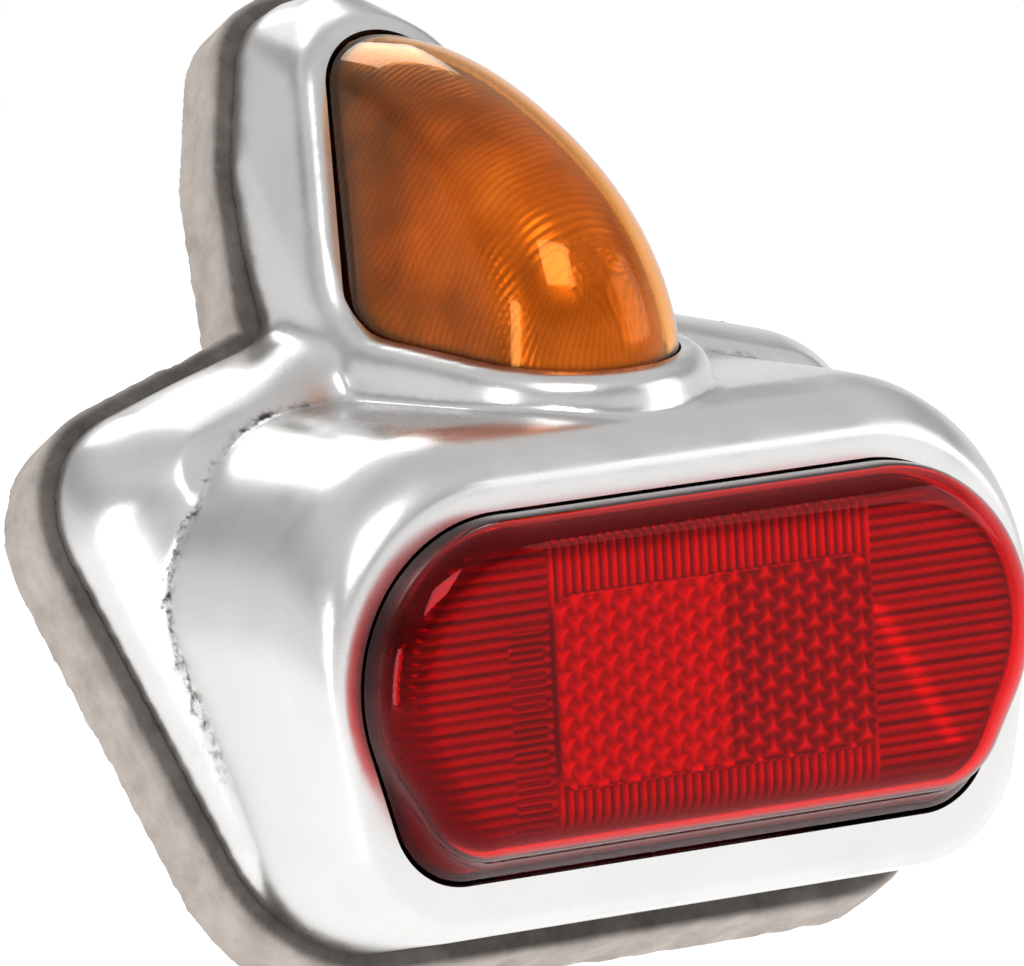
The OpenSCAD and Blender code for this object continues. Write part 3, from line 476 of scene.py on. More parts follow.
def clear_acrylic(name, colour, smooth, worn, sheen="#FFFFFF", dye=0.0):
    """Moulded acrylic or glass seen through: glossy and lightly scuffed, with tinted gloss.

    The dye, per millimetre, darkens thick edges.
    """
    made, tree, shader, place = new_material(
        name, colour, smooth, IOR=1.49, **{"Transmission Weight": 1.0, "Specular Tint": linear(sheen)})
    scuff = add(tree, NOISE, {"Vector": place, "Scale": per(3), "Detail": 5.0, "Roughness": 0.6})
    rough = add(tree, RANGE, {"Value": scuff, "From Min": 0.4, "From Max": 0.75,
                              "To Min": smooth, "To Max": worn})
    wire(tree, shader, Roughness=rough)
    if dye:
        depth = add(tree, "ShaderNodeVolumeAbsorption", {"Color": colour, "Density": dye / MM})
        tree.links.new(depth.outputs["Volume"], tree.nodes["Material Output"].inputs["Volume"])
    return made


def moulded_optics(name, stops, roughness, cloud, mirror):
    """A lens's moulded inner face: its prisms reflect light whole, so it mirrors in the lens's colour; its
    colour ramp paints light and shade onto it.
    """
    made, tree, shader, place = new_material(name, linear(stops[-1][1]), roughness, mirror)
    glow = add(tree, "ShaderNodeAttribute", attribute_name="glow").outputs["Fac"]
    mist = add(tree, NOISE, {"Vector": place, "Scale": per(7), "Detail": 4.0})
    centred = add(tree, MATH, {0: mist, 1: 0.5}, operation="SUBTRACT")
    lit = add(tree, MATH, {0: centred, 1: cloud, 2: glow}, operation="MULTIPLY_ADD")
    wire(tree, shader, Base_Color=add(tree, RAMP, {"Fac": lit}, stops))
    return made


def aged_rubber():
    """Moulded grey rubber, dry and dusty: pale on the outside, with painted shade where the casting shades
    it.
    """
    colour = chosen("rubber_colour")
    made, tree, shader, place = new_material("aged_grey_rubber", colour, 0.8)
    dust = add(tree, NOISE, {"Vector": place, "Scale": per(4), "Detail": 6.0, "Roughness": 0.6})
    speck = add(tree, NOISE, {"Vector": place, "Scale": per(0.8), "Detail": 3.0})
    shaded = add(tree, "ShaderNodeAttribute", attribute_name="inner").outputs["Fac"]
    pale = add(tree, RAMP, {"Fac": dust},
               [(0.3, tone(colour, 0.78)), (0.5, colour), (0.72, tone(colour, 1.2))])
    # painted shade: the dark ramp is mixed in where the casting shades the pad
    dark = add(tree, RAMP, {"Fac": dust}, [(0.3, tone(colour, 0.14)), (0.7, tone(colour, 0.34))])
    paint = add(tree, "ShaderNodeMix", {"Factor": shaded, "A": pale, "B": dark}, data_type="RGBA")
    rough = add(tree, RANGE, {"Value": speck, "From Min": 0.3, "From Max": 0.7,
                              "To Min": 0.68, "To Max": 0.92})
    broad = add(tree, BUMP, {"Height": dust, "Distance": 0.25 * MM, "Strength": 0.8})
    relief = add(tree, BUMP, {"Height": speck, "Distance": 0.06 * MM, "Strength": 0.8, "Normal": broad})
    wire(tree, shader, Base_Color=paint, Roughness=rough, Normal=relief)
    return made


def grained(name, low, high, roughness, size, metallic):
    """A plated, drawn or moulded surface whose tone and gloss vary in grains of size millimetres."""
    made, tree, shader, place = new_material(name, linear(high), roughness, metallic)
    grain = add(tree, NOISE, {"Vector": place, "Scale": per(size), "Detail": 5.0, "Roughness": 0.6})
    rough = add(tree, RANGE, {"Value": grain, "From Min": 0.3, "From Max": 0.7,
                              "To Min": roughness - 0.06, "To Max": roughness + 0.1})
    wire(tree, shader, Base_Color=add(tree, RAMP, {"Fac": grain}, [(0.3, low), (0.7, high)]),
         Roughness=rough, Normal=add(tree, BUMP, {"Height": grain, "Distance": 0.012 * MM}))
    return made


def dress(piece, paint, body, slot, *nodes):
    """Gives a piece its material and its body, and hides the CAD nodes it stands for; the slot is not used.
    """
    piece.data.materials.clear()
    piece.data.materials.append(paint)
    piece.data.polygons.foreach_set("material_index", [0] * len(piece.data.polygons))
    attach(piece, body)
    if nodes:
        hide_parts(*nodes)


# Housing

def hood_hull(name, inset, start):
    """The hood's body behind the rim, from smooth steps of its growth."""
    # depth behind the rim, then the shares of swell, low swell, rise and drop
    key = np.array([[0, 0, 0, 0, 0], [0.6, 0.3, 0.2, 0.2, 0.1], [2, 0.55, 0.45, 0.5, 0.25],
                    [4.5, 0.8, 0.7, 0.78, 0.4], [9, 1, 0.9, 0.96, 0.55], [18, 1, 0.9, 1, 1],
                    [53, 1, 0.9, 1, 1]])
    at = np.concatenate([np.linspace(0, 1, 12) ** 2 * 4.5, np.linspace(5, 22, 28), [53.0]])
    soft = np.stack([smooth_curve(key[:, 0], key[:, k], at) for k in range(1, 5)], axis=1)
    points = []
    for y, (swell, low, rise, drop) in zip(at, soft):
        upper = (RIM_W / 2 - RIM_TOP_R + swell * HOOD_SWELL,
                 RIM_TOP - RIM_TOP_R + rise * HOOD_RISE, RIM_TOP_R - inset)
        lower = (RIM_LOW_W / 2 - RIM_BOTTOM_R + low * HOOD_SWELL,
                 RIM_BOTTOM_R - RIM_BOTTOM - drop * HOOD_DROP, RIM_BOTTOM_R - inset)
        points.append(at_y(ring_of(mirrored([upper, lower])), start + y))
    return hull_object(name, np.vstack(points))


def smooth_curve(x, y, at):
    """A monotone cubic through the points (x, y), read at the places in at."""
    slope = np.diff(y) / np.diff(x)
    tangent = np.zeros(len(x))
    for i in range(1, len(x) - 1):
        if slope[i - 1] * slope[i] > 0:
            tangent[i] = 2 / (1 / slope[i - 1] + 1 / slope[i])
    tangent[0] = slope[0]
    k = np.clip(np.searchsorted(x, at) - 1, 0, len(x) - 2)
    h = x[k + 1] - x[k]
    t = (at - x[k]) / h
    return ((1 + 2 * t) * (1 - t) ** 2 * y[k] + t * (1 - t) ** 2 * h * tangent[k]
            + t * t * (3 - 2 * t) * y[k + 1] + t * t * (t - 1) * h * tangent[k + 1])


def skirt_hull(name, inset, low):
    """The flared foot on the mounting face."""
    points = []
    for s in np.linspace(0, 1, 24):
        ring = ring_of(drawn_in(FOOT, inset + s * s * SKIRT_DRAW))
        points.append(at_w(ring, PAD_T - low + s * (SKIRT_H - inset + low)))
    return hull_object(name, np.vstack(points))


def grown_rings(discs, levels, place):
    """Rings of the discs at (grow, level) steps, set up by place."""
    return np.vstack([place(ring_of(grown(discs, grow)), level) for grow, level in levels])


# the lip's rounded edge: how far it stands out, and how far below its top
LIP_STEPS = ((LIP_W, -2.4), (LIP_W - 0.25, -1.3), (LIP_W - 0.8, -0.5), (LIP_W - 1.6, 0))


def head_hull(name, inset, low):
    """The raised head round the amber arch."""
    steps = ((0, PAD_T - low), (0.4, PAD_T + 3.5), (2.6, ARCH_W - 4 - inset))
    points = [at_w(ring_of(drawn_in(HEAD, inset + extra)), w) for extra, w in steps]
    top = [(0, -inset)] if inset else LIP_STEPS
    points.append(grown_rings(ARCH, [(grow, ARCH_W + lift) for grow, lift in top], at_w))
    return hull_object(name, np.vstack(points))


def neck_hull():
    """The broad fillet between the head and the shoulders."""
    steps = ((14.5, 22, 7, PAD_T), (13, 23, 7, PAD_T + 6), (9.5, 21, 6, ARCH_W - 2.5))
    return hull_object("neck", np.vstack([at_w(ring_of(mirrored([(x, v, r)])), w) for x, v, r, w in steps]))


def on_lip(flat, lift):
    """A flat outline laid on the amber lip's sloping top, or lift over it."""
    y = flat[:, 1] - NOSE_TIP_Y
    return rim_points(flat[:, 0], NOSE_TIP_Y + y * math.cos(LIP_SLOPE),
                      NOSE_Z + lift + y * math.sin(LIP_SLOPE))


def nose_hull():
    """The raised lip round the amber lens on the hood."""
    foot = at_z(ring_of(grown(NOSE, LIP_W + 1.0)), RIM_TOP)
    return hull_object("nose", np.vstack([foot, grown_rings(NOSE, LIP_STEPS, on_lip)]))


def web_object(side):
    """The fillet between the lip on the hood and the lip up the arch."""
    reach = RIM_REACH * math.cos(TILT) + RIM_RISE * math.sin(TILT)
    slope = math.tan(LIP_SLOPE)
    corner_y = (reach - ARCH_W + NOSE_Z * math.sin(TILT) - NOSE_TIP_Y * slope * math.sin(TILT)) / (
        math.cos(TILT) - slope * math.sin(TILT))
    corner_z = NOSE_Z + (corner_y - NOSE_TIP_Y) * slope
    opened = math.pi / 2 + LIP_SLOPE + TILT
    middle = math.pi + LIP_SLOPE - opened / 2
    fillet = 11.0
    centre = fillet / math.sin(opened / 2) * np.array([math.cos(middle), math.sin(middle)])
    turn = middle + math.pi + np.linspace(-0.5, 0.5, 25) * (math.pi - opened)
    flat = np.vstack([[-3 * math.cos(middle), -3 * math.sin(middle)],
                      centre + fillet * np.stack([np.cos(turn), np.sin(turn)], axis=1)])
    count = len(flat)
    points = np.vstack([rim_points(side * x, corner_y + flat[:, 0], corner_z + flat[:, 1])
                        for x in (OPEN_HALF - 1, OPEN_HALF + LIP_W - 0.8)])
    faces = [list(range(count)), list(range(2 * count - 1, count - 1, -1))]
    faces += [[i, count + i, count + (i + 1) % count, (i + 1) % count] for i in range(count)]
    return mesh_object("web", points, faces)


def opening_hull(name, grow, low, high):
    """A straight body through the red rim's opening."""
    return hull_object(name, stacked(grown(OPENING, grow), (low, high), at_y, 192))


def nearest(tree, points):
    """Distance from each point (millimetres) to a surface."""
    return np.array([(tree.find_nearest(Vector(p * MM))[3] or 1.0) / MM for p in points])


def build_housing():
    """The casting: all outer bodies fused and smoothed, then hollowed and opened."""
    skirt = skirt_hull("skirt", 0, 0)
    hood = hood_hull("hood", 0, 0)
    graph = bpy.context.evaluated_depsgraph_get()
    trees = [BVHTree.FromObject(o, graph) for o in (skirt, hood)]
    parts = [skirt, hood, head_hull("head", 0, 0), neck_hull(), nose_hull(),
             web_object(1), web_object(-1)]
    body = remeshed(joined("housing_casting", parts), chosen_mm("casting_voxel"), 8)
    # the casting flows from the head into the shoulders with no edge
    points = coords(body)
    v = points @ UP_FACE
    across = np.abs(points[:, 0])
    beside_arch = np.clip((across - 14.6) / 2.5, 0, 1)
    blend(body, np.exp(-((v - 27) / 9) ** 2 - ((across - 20) / 7) ** 2) * beside_arch, 220)
    cut(body, box_object("below", (-80, -80, -40), (80, 100, PAD_T), base_points))
    points = coords(body)
    gap = np.maximum(nearest(trees[0], points), nearest(trees[1], points))
    seam = np.exp(-(gap / chosen_mm("seam_width")) ** 2) * (0.75 + 0.35 * ripple(points, (2.5, 6.0), 5))
    # the crease is open beside the neck and down to the middle of the flank, and polished shut elsewhere
    seam *= 1.6 * np.clip((np.abs(points[:, 0]) - 14) / 3, 0, 1)
    seam *= np.clip((points[:, 2] + 13) / 9, 0, 1)
    # painted shade: the seam mask also darkens the casting's colour in the crease, besides marking its pores
    set_attribute(body, "seam", np.clip(seam, 0, 1))
    cavity = hood_hull("cavity", WALL, LIP_T)
    cut(cavity, box_object("window_seat", (-WINDOW_W / 2 - 8, WINDOW_Y - 1.3, -FLOOR_Z - 6),
                           (WINDOW_W / 2 + 8, WINDOW_Y + WINDOW_D + 1.3, -WINDOW_PAD_Z), rim_points))
    cut(cavity, hull_object("roof", stacked(grown(NOSE, AMBER_FLANGE_W + 3), (ROOF_Z, ROOF_Z + 6), at_z)))
    for tool in (cavity, skirt_hull("hollow", WALL, 3), head_hull("head_hollow", WALL, 3),
                 opening_hull("flange_room", RED_FLANGE_W + 0.3, LIP_T, LIP_T + 4)):
        cut(body, tool)
    for x, v, length in SCREW_SPOTS:
        boss = rod_object("boss", x, v, 3.8, PAD_T + 1.2, PAD_T + 1.2 + length)
        cut(boss, rod_object("bore", x, v, 2.05, PAD_T, PAD_T + length + 0.4))
        cut(body, boss, "UNION")
    cut(body, hull_object("arch_cut", stacked(ARCH, (ARCH_W - 5, ARCH_W + 40), at_w)))
    arch, nose = ([disc for disc in discs if disc[0]] for discs in (ARCH, NOSE))
    cut(body, hull_object("corner_cut", np.vstack([stacked(arch, (ARCH_W - 5, ARCH_W + 2), at_w),
                                                   stacked(nose, (ROOF_Z - 1, NOSE_Z + 5), at_z)])))
    cut(body, hull_object("nose_cut", stacked(NOSE, (ROOF_Z - 1, 60), at_z)))
    cut(body, opening_hull("rim_cut", 0, -5, LIP_T + 1))
    cut(body, box_object("window_cut", (-WINDOW_W / 2, WINDOW_Y, -RIM_BOTTOM - 8),
                         (WINDOW_W / 2, WINDOW_Y + WINDOW_D, -20), rim_points))
    shade(body, 38)
    dress(body, polished_aluminium(), "cover", "polished_alloy", "housing")


# Red lens

def loft(name, rings, closed=False):
    """A skin over rings of equal count, in millimetres; closed adds its two ends."""
    count = len(rings[0])
    faces = []
    for j in range(len(rings) - 1):
        a, b = j * count, (j + 1) * count
        faces += [[a + i, a + (i + 1) % count, b + (i + 1) % count, b + i] for i in range(count)]
    if closed:
        faces.append(list(range(count - 1, -1, -1)))
        faces.append([(len(rings) - 1) * count + i for i in range(count)])
    return mesh_object(name, np.vstack(rings), faces)


def raised(discs, rise):
    """The discs with the lower corners raised and drawn in a little."""
    return [(x - math.copysign(0.4 * rise, x) * (z < -5), z + rise * (z < -5), r) for x, z, r in discs]


def lens_outline(grow, rise, count):
    """The red lens's outline, lower corners raised, as evenly spaced points."""
    return outline_of(raised(grown(OPENING, grow), rise), count)


def red_rings(inset):
    """Rings from the red lens's back edge, round its front edge and in to the middle of its face."""
    count = 320
    edge = RED_EDGE_R - inset
    front = RED_EDGE_R - RED_PROUD
    rings = []
    for y in np.linspace(RED_BACK, front, 9):
        rise = RED_LOWER_DRAFT * np.clip(y / front, 0, 1)
        rings.append(at_y(lens_outline(-LENS_GAP - inset, rise, count), y))
    for a in np.linspace(0, math.pi / 2, 14)[1:]:
        flat = lens_outline(-LENS_GAP - inset - edge * (1 - math.cos(a)), RED_LOWER_DRAFT, count)
        rings.append(at_y(flat, front - edge * math.sin(a)))
    face = rings[-1].copy()
    middle = face.mean(axis=0)
    for s in np.linspace(1, 0, 22)[1:-1]:
        rings.append(middle + (face - middle) * s)
    return rings


def build_red_skin():
    """The smooth outer skin of the red lens, 1.1 mm thick."""
    skin = loft("red_lens_skin", red_rings(0)[::-1] + red_rings(SKIN_T), closed=True)
    shade(skin, 50)
    paint = clear_acrylic("red_acrylic_skin", chosen("red_colour"), 0.02, 0.06, "#FF6A70", 0.6)
    dress(skin, paint, "cover", "red_acrylic", "red_lens")


# the prism panel's left, right, lower and upper edges, and where its prisms turn round
PANEL = (-20.4, 18.8, -15.8, 4.0)
PANEL_SPLIT = 0.8


def corner_cubes(x, z, pitch, flip):
    """Height of a sheet of corner cubes, 0 to about 1, on a lattice with upright columns."""
    ways = [(math.cos(a), math.sin(a)) for a in np.radians([90 + flip, 210 + flip, 330 + flip])]
    column = pitch * math.sqrt(3) / 2
    ci = np.round(x / column)
    best = np.full(x.shape, -9.0)
    for di in (-1, 0, 1):
        i = ci + di
        shift = np.where(np.mod(i, 2) > 0.5, 0.5, 0.0)
        cj = np.round(z / pitch - shift)
        for dj in (-1, 0, 1):
            px = x - i * column
            pz = z - (cj + dj + shift) * pitch
            reach = np.max([px * a + pz * b for a, b in ways], axis=0)
            best = np.maximum(best, -reach)
    return best / pitch + 0.6


def red_relief(x, z, inside):
    """Relief of the prisms (millimetres, towards the viewer) and painted light (0 to 1) of the red plate."""
    left, right, low, top = PANEL
    corner = 2.2
    dx = np.maximum(np.maximum(left + corner - x, x - right + corner), 0)
    dz = np.maximum(np.maximum(low + corner - z, z - top + corner), 0)
    panel = corner - np.hypot(dx, dz)
    left_half = x < PANEL_SPLIT
    cubes = np.where(left_half, *(corner_cubes(x, z, chosen_mm("prism_pitch"), flip) for flip in (0, 180)))
    beside = (x < left - 0.4) | (x > right + 0.4)
    along = np.where(beside, z, x)
    # a band of finer flutes stands left of the panel
    fine = (x < left - 1.2) & (x > left - 5.4) & (z < top - 3)
    flute = np.abs(np.cos(math.pi * along / (chosen_mm("red_flute_pitch") * np.where(fine, 0.7, 1.0))))
    level = np.where(panel > 0, 0.25 + 0.85 * cubes, 0.32 * flute)
    level = np.where(np.abs(panel - 0.15) < 0.22, 0.7, level)
    # painted highlights: each prism is painted lighter with its cube height, in two patterns for the two
    # halves
    bright = np.where(left_half, 0.40 + 1.1 * cubes, 0.20 + 1.7 * np.clip(cubes - 0.1, 0, 0.5))
    glow = np.where(panel > 0, bright, 0.30 + 0.42 * flute)
    # painted light, brighter bands: flutes over the panel, and a painted lit wedge on the right
    above = np.exp(-((z - top - 2.0) / 2.4) ** 2) * ~beside
    under = np.exp(-((z - low + 2.6) / 2.2) ** 2) * ~beside
    glow += 0.30 * above * flute + 0.22 * under * flute
    wedge = np.exp(-((x - 20.3 - 0.595 * (-2.8 - z)) / 1.2) ** 2) * (z < -1.5) * (z > -17)
    glow += 0.4 * wedge * beside
    # painted shade: darker towards the edge of the opening
    glow *= np.clip(0.3 + inside / 5.0, 0, 1)
    return level * np.clip(inside / 1.5, 0, 1), glow


def build_red_plate():
    """The moulded prisms and flutes behind the skin, as real relief."""
    step = chosen_mm("prism_step")
    inner = raised(grown(OPENING, -LENS_GAP - OPTICS_INSET), RED_LOWER_DRAFT)
    xs = np.arange(-42, 42 + step / 2, step)
    zs = np.arange(-27, 15 + step / 2, step)
    gx, gz = np.meshgrid(xs, zs, indexing="ij")
    flat = np.stack([gx.ravel(), gz.ravel()], axis=1)
    inside = inside_by(flat, inner)
    edge = 3.0
    fall = edge - np.sqrt(np.maximum(edge ** 2 - np.clip(edge - inside, 0, edge) ** 2, 0))
    relief, glow = red_relief(flat[:, 0], flat[:, 1], inside)
    y = OPTICS_Y + fall - relief
    keep = inside > 0.02
    grid = np.where(keep, np.cumsum(keep) - 1, -1).reshape(gx.shape)
    a, b, c, d = grid[:-1, :-1], grid[1:, :-1], grid[1:, 1:], grid[:-1, 1:]
    faces = np.stack([a, b, c, d], axis=-1)
    faces = faces[(faces >= 0).all(axis=-1)]
    plate = mesh_object("red_lens_prisms", rim_points(flat[keep, 0], y[keep], flat[keep, 1]), faces.tolist())
    set_attribute(plate, "glow", np.clip(glow[keep], 0, 1))
    # the side walls are fluted too, a flute to every three of their points
    count = 720
    depth = np.linspace(-2.2, 5.2, 12)
    wave = np.abs(np.cos(math.pi * np.arange(count) / 3))
    pull = 0.18 * wave
    rings = []
    for y_at in depth:
        side = lens_outline(-LENS_GAP - OPTICS_INSET, RED_LOWER_DRAFT * np.clip(-y_at / 2.2, 0, 1), count)
        rings.append(rim_points(side[:, 0] * (1 - pull / 38), y_at, side[:, 1]))
    wall = loft("red_lens_walls", rings)
    # painted light: the walls are painted dark, with a faint painted highlight on each flute
    set_attribute(wall, "glow", np.tile(0.04 + 0.12 * wave, len(depth)))
    stops = [(0.0, "#1C0103"), (0.35, "#5E040B"), (0.7, "#BE101A"), (1.0, "#FF5450")]
    paint = moulded_optics("red_acrylic_prisms", stops, 0.2, 0.15, 0.85)
    for piece in (plate, wall):
        shade(piece, 30)
        dress(piece, paint, "cover", "red_acrylic")


# Amber lens

DOME_Z = NOSE_Z + (DOME_Y - NOSE_TIP_Y) * math.tan(LIP_SLOPE) - 0.25
DOME_REACH_ARCH = (ARCH_TOP - LENS_GAP - (DOME_Y - RIM_REACH) * math.sin(TILT)
                   - (DOME_Z + RIM_RISE) * math.cos(TILT))
DOME_REACH_NOSE = (DOME_Y - NOSE_TIP_Y - LENS_GAP) / math.cos(LIP_SLOPE)


def dome_points(inset):
    """Fan sections of the amber dome about its inner corner."""
    points = []
    for t in np.linspace(0, 1, 46):
        reach = DOME_REACH_ARCH + (DOME_REACH_NOSE - DOME_REACH_ARCH) * t
        reach -= DOME_DRAW * math.sin(math.pi * t ** 0.78) ** 1.15
        turn = math.pi / 2 - TILT + (math.pi / 2 + LIP_SLOPE + TILT) * t
        tip = ARCH_R + (NOSE_R - ARCH_R) * t - LENS_GAP - inset
        root = (OPEN_HALF - ARCH_ROOT_R, 2.0, ARCH_ROOT_R - LENS_GAP - inset)
        x, out = ring_of(mirrored([root, (0.0, reach - inset - tip, tip)])).T
        points.append(rim_points(x, DOME_Y + out * math.cos(turn), DOME_Z + out * math.sin(turn)))
    return np.vstack(points)


def amber_body(name, inset, low):
    """The dome and its skirt as one convex body."""
    nose = ring_of(grown(NOSE, -LENS_GAP - inset))
    arch = ring_of(grown(ARCH, -LENS_GAP - inset))
    parts = [dome_points(inset)]
    for back in (0, low):
        parts.append(rim_points(nose[:, 0], nose[:, 1] + back, AMBER_FLANGE_Z - 0.3 - low))
        parts.append(base_points(arch[:, 0], arch[:, 1] - back, ARCH_W - 3 - low))
    return hull_object(name, np.vstack(parts))


def build_amber_skin():
    """The smooth outer skin of the amber dome."""
    skin = remeshed(amber_body("amber_lens_skin", 0, 0), 0.45, 6)
    cut(skin, remeshed(amber_body("hollow", SKIN_T, 8), 0.6, 4))
    shade(skin, 40)
    paint = clear_acrylic("amber_acrylic_skin", chosen("amber_colour"), 0.03, 0.10, "#FFC070", 0.8)
    dress(skin, paint, "cover", "amber_acrylic", "amber_lens")


def build_amber_flutes():
    """The fluted inner face of the amber dome, as real relief."""
    inner = remeshed(amber_body("amber_lens_flutes", OPTICS_INSET, 0), chosen_mm("flute_voxel"), 3)
    points = coords(inner)
    rim = points + np.array([0, RIM_REACH, -RIM_RISE])
    lean = math.radians(24)
    q = (rim[:, 1] - NOSE_Y) * math.cos(lean) + (rim[:, 2] - NOSE_Z) * math.sin(lean)
    front = np.arctan2(np.abs(rim[:, 0]), np.maximum(-q, 1e-6))
    along = np.where(q < 0, 12.5 * front, 12.5 * math.pi / 2 + q)
    along += 0.35 * ripple(rim, (18.0, 7.0), 3)
    # each flute fades in and out along its length
    flute = np.abs(np.cos(math.pi * along / chosen_mm("amber_flute_pitch"))) * np.clip(
        0.8 + 0.3 * ripple(rim, (5.0, 9.0), 8), 0.2, 1)
    out = vectors(inner, "normal")
    set_coords(inner, points - out * (chosen_mm("amber_flute_depth") * flute)[:, None])
    # painted light: lightest where the bulb stands behind it and at the nose, with painted shade up by the
    # arch, and a painted highlight along each flute
    lit = np.exp(-((rim[:, 1] - 24) / 9) ** 2 - ((rim[:, 2] - 40) / 7) ** 2)
    nose = np.clip((20 - rim[:, 1]) / 10, 0, 1)
    arch = np.clip((rim[:, 1] - 30) / 10, 0, 1)
    glow = 0.32 + 0.18 * flute + 0.34 * lit + 0.20 * nose - 0.22 * arch
    set_attribute(inner, "glow", glow)
    shade(inner, 60)
    stops = [(0.1, "#452810"), (0.4, "#9C6422"), (0.7, "#E09E46"), (1.0, "#FFD898")]
    dress(inner, moulded_optics("amber_acrylic_flutes", stops, 0.3, 0.5, 0.45), "cover", "amber_acrylic")


# Base pad

def build_pad():
    """The rubber pad: a ring with rounded, slightly uneven edges, painted dark with shade where the casting
    covers it.
    """
    outer = [hull_object("outer", stacked(grown(plan, PAD_LIP), (0, PAD_T), at_w)) for plan in (FOOT, HEAD)]
    pad = remeshed(joined("base_pad_rubber", outer), 0.5, 6)
    for discs in (drawn_in(FOOT, PAD_RING), drawn_in(HEAD, PAD_RING), PAD_NECK):
        cut(pad, hull_object("inner", stacked(discs, (-4.0, PAD_T + 4), at_w)))
    for x, v, _ in SCREW_SPOTS:
        cut(pad, rod_object("access", x, v, 4.7, -3, PAD_T + 3))
    points = coords(pad)
    plan = np.stack([points[:, 0], points @ UP_FACE], axis=1)
    w = points @ OUT_OF_FACE
    depth = np.maximum(inside_by(plan, FOOT), inside_by(plan, HEAD))
    # the outer edge is uneven by up to about 0.2 mm, inwards only
    side = np.clip(-depth - 0.6, 0, 1)
    push = 0.16 * ripple(points, (9.0, 4.0), 11) * side
    out = vectors(pad, "normal")
    out -= (out @ OUT_OF_FACE)[:, None] * OUT_OF_FACE
    set_coords(pad, points + out * np.minimum(push, 0.0)[:, None])
    # painted shade: inner marks the top face beside the casting, which the rubber material darkens
    set_attribute(pad, "inner", np.clip((w - PAD_T + 2.0) / 1.2, 0, 1) * np.clip((depth + 2.2) / 0.9, 0, 1))
    shade(pad, 45)
    dress(pad, aged_rubber(), "base", "pad_rubber", "base_pad")


# Hardware that keeps its CAD shape

def hardware_materials():
    """Materials by the record's slot names; metals first, then plastics, rubber and enamel."""
    rows = {
        # bright zinc plate with a faint bluish grain
        "zinc_steel": ("zinc_plated_steel", "#9EA2A8", "#CDD1D6", 0.32, 1.5, 1.0),
        # drawn spring strip and wire, bright along the draw
        "spring_steel": ("spring_steel", "#A2A2A0", "#D2D2CF", 0.26, 0.6, 1.0),
        # pressed steel with a yellow passivated plate
        "socket_steel": ("passivated_steel", "#A59A66", "#D6CD9B", 0.3, 1.2, 1.0),
        # turned and pressed brass, tarnished in patches
        "brass": ("brass", "#B08A3C", "#E2C070", 0.25, 2.0, 1.0),
        # soft solder with a dull skin
        "solder": ("soft_solder", "#8A8A88", "#BEBEBA", 0.42, 0.8, 1.0),
        # drawn lamp wire, dark from its first burn
        "filament_wire": ("lamp_wire", "#5A5856", "#8C8A87", 0.35, 0.4, 1.0),
        # brown thermoset with a satin mould skin
        "brown_moulding": ("brown_thermoset", "#2A1208", "#4A2413", 0.42, 1.4, 0.0),
        # cut black sheet rubber
        "seal_rubber": ("black_sheet_rubber", "#141414", "#232323", 0.75, 0.7, 0.0),
        # stove enamel that throws the bulbs' light forward
        "white_enamel": ("white_stove_enamel", "#DEDDD6", "#F2F1EB", 0.28, 3.0, 0.0),
        # sleeves of the two leads
        "tail_lead_cover": ("grey_lead_sleeve", "#4C5157", "#656B72", 0.5, 0.8, 0.0),
        "stop_lead_cover": ("yellow_lead_sleeve", "#B49A36", "#D2B84E", 0.5, 0.8, 0.0),
    }
    paints = {slot: grained(*row) for slot, row in rows.items()}
    paints["bulb_glass"] = clear_acrylic("lamp_glass", linear("#F6F9F9"), 0.0, 0.03)
    paints["clear_acrylic"] = clear_acrylic("clear_acrylic", linear("#F2F4F4"), 0.03, 0.09)
    return paints


def finish_hardware():
    """Gives every shown CAD node its procedural material."""
    paints = hardware_materials()
    slots = {row["node"]: row["material_slot"] for row in frame["record"]["subparts"]}
    for name, obj in frame["nodes"].items():
        paint = paints.get(slots[name])
        if paint is None:
            continue
        if not obj.data.materials:
            obj.data.materials.append(paint)
        for slot in obj.material_slots:
            slot.material = paint
    build_springs(paints["spring_steel"])


def build_springs(paint):
    """The coil springs under the two bulbs, as copies of their CAD nodes."""
    for name in ("tail", "stop"):
        node = f"{name}_contact_spring"
        mesh = frame["nodes"][node].data.copy()
        mesh.transform(frame["nodes"][node].matrix_world)
        coil = link(f"{name}_contact_coil", mesh)
        height = coords(coil) @ OUT_OF_FACE
        dress(coil, paint, "base", "spring_steel", node)
        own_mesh(coil)


# Stage

AZIMUTH, ELEVATION, ROLL, DISTANCE = math.radians(34.5), math.radians(7.5), math.radians(3.0), 1.6


def build_camera():
    """The camera at the photograph's viewing angle."""
    away = Vector((math.sin(AZIMUTH), math.cos(AZIMUTH), 0))
    right = Vector((math.cos(AZIMUTH), -math.sin(AZIMUTH), 0))
    zenith = Vector((0, 0, 1))
    up = math.sin(ELEVATION) * away + math.cos(ELEVATION) * zenith
    ahead = math.cos(ELEVATION) * away - math.sin(ELEVATION) * zenith
    across = math.cos(ROLL) * right - math.sin(ROLL) * up
    above = math.sin(ROLL) * right + math.cos(ROLL) * up
    target = Vector((0, -0.045, 0.003)) - 0.01872 * right + 0.01385 * up
    data = bpy.data.cameras.new("camera")
    data.lens, data.sensor_width, data.sensor_fit = 556.9, 36.0, "HORIZONTAL"
    data.clip_start, data.clip_end = 0.05, 30.0
    camera = link("camera", data)
    turn = Matrix((across, above, -ahead)).transposed().to_4x4()
    camera.matrix_world = Matrix.Translation(target - DISTANCE * ahead) @ turn
    bpy.context.scene.camera = camera


def area_light(name, place, size, power):
    """A soft rectangular white light that looks at the part."""
    data = bpy.data.lights.new(name, "AREA")
    data.shape, data.size, data.size_y = "RECTANGLE", *size
    data.energy = power
    lamp = link(name, data)
    lamp.location = place
    lamp.rotation_euler = (Vector((0, 0, 0.01)) - Vector(place)).to_track_quat("-Z", "Y").to_euler()


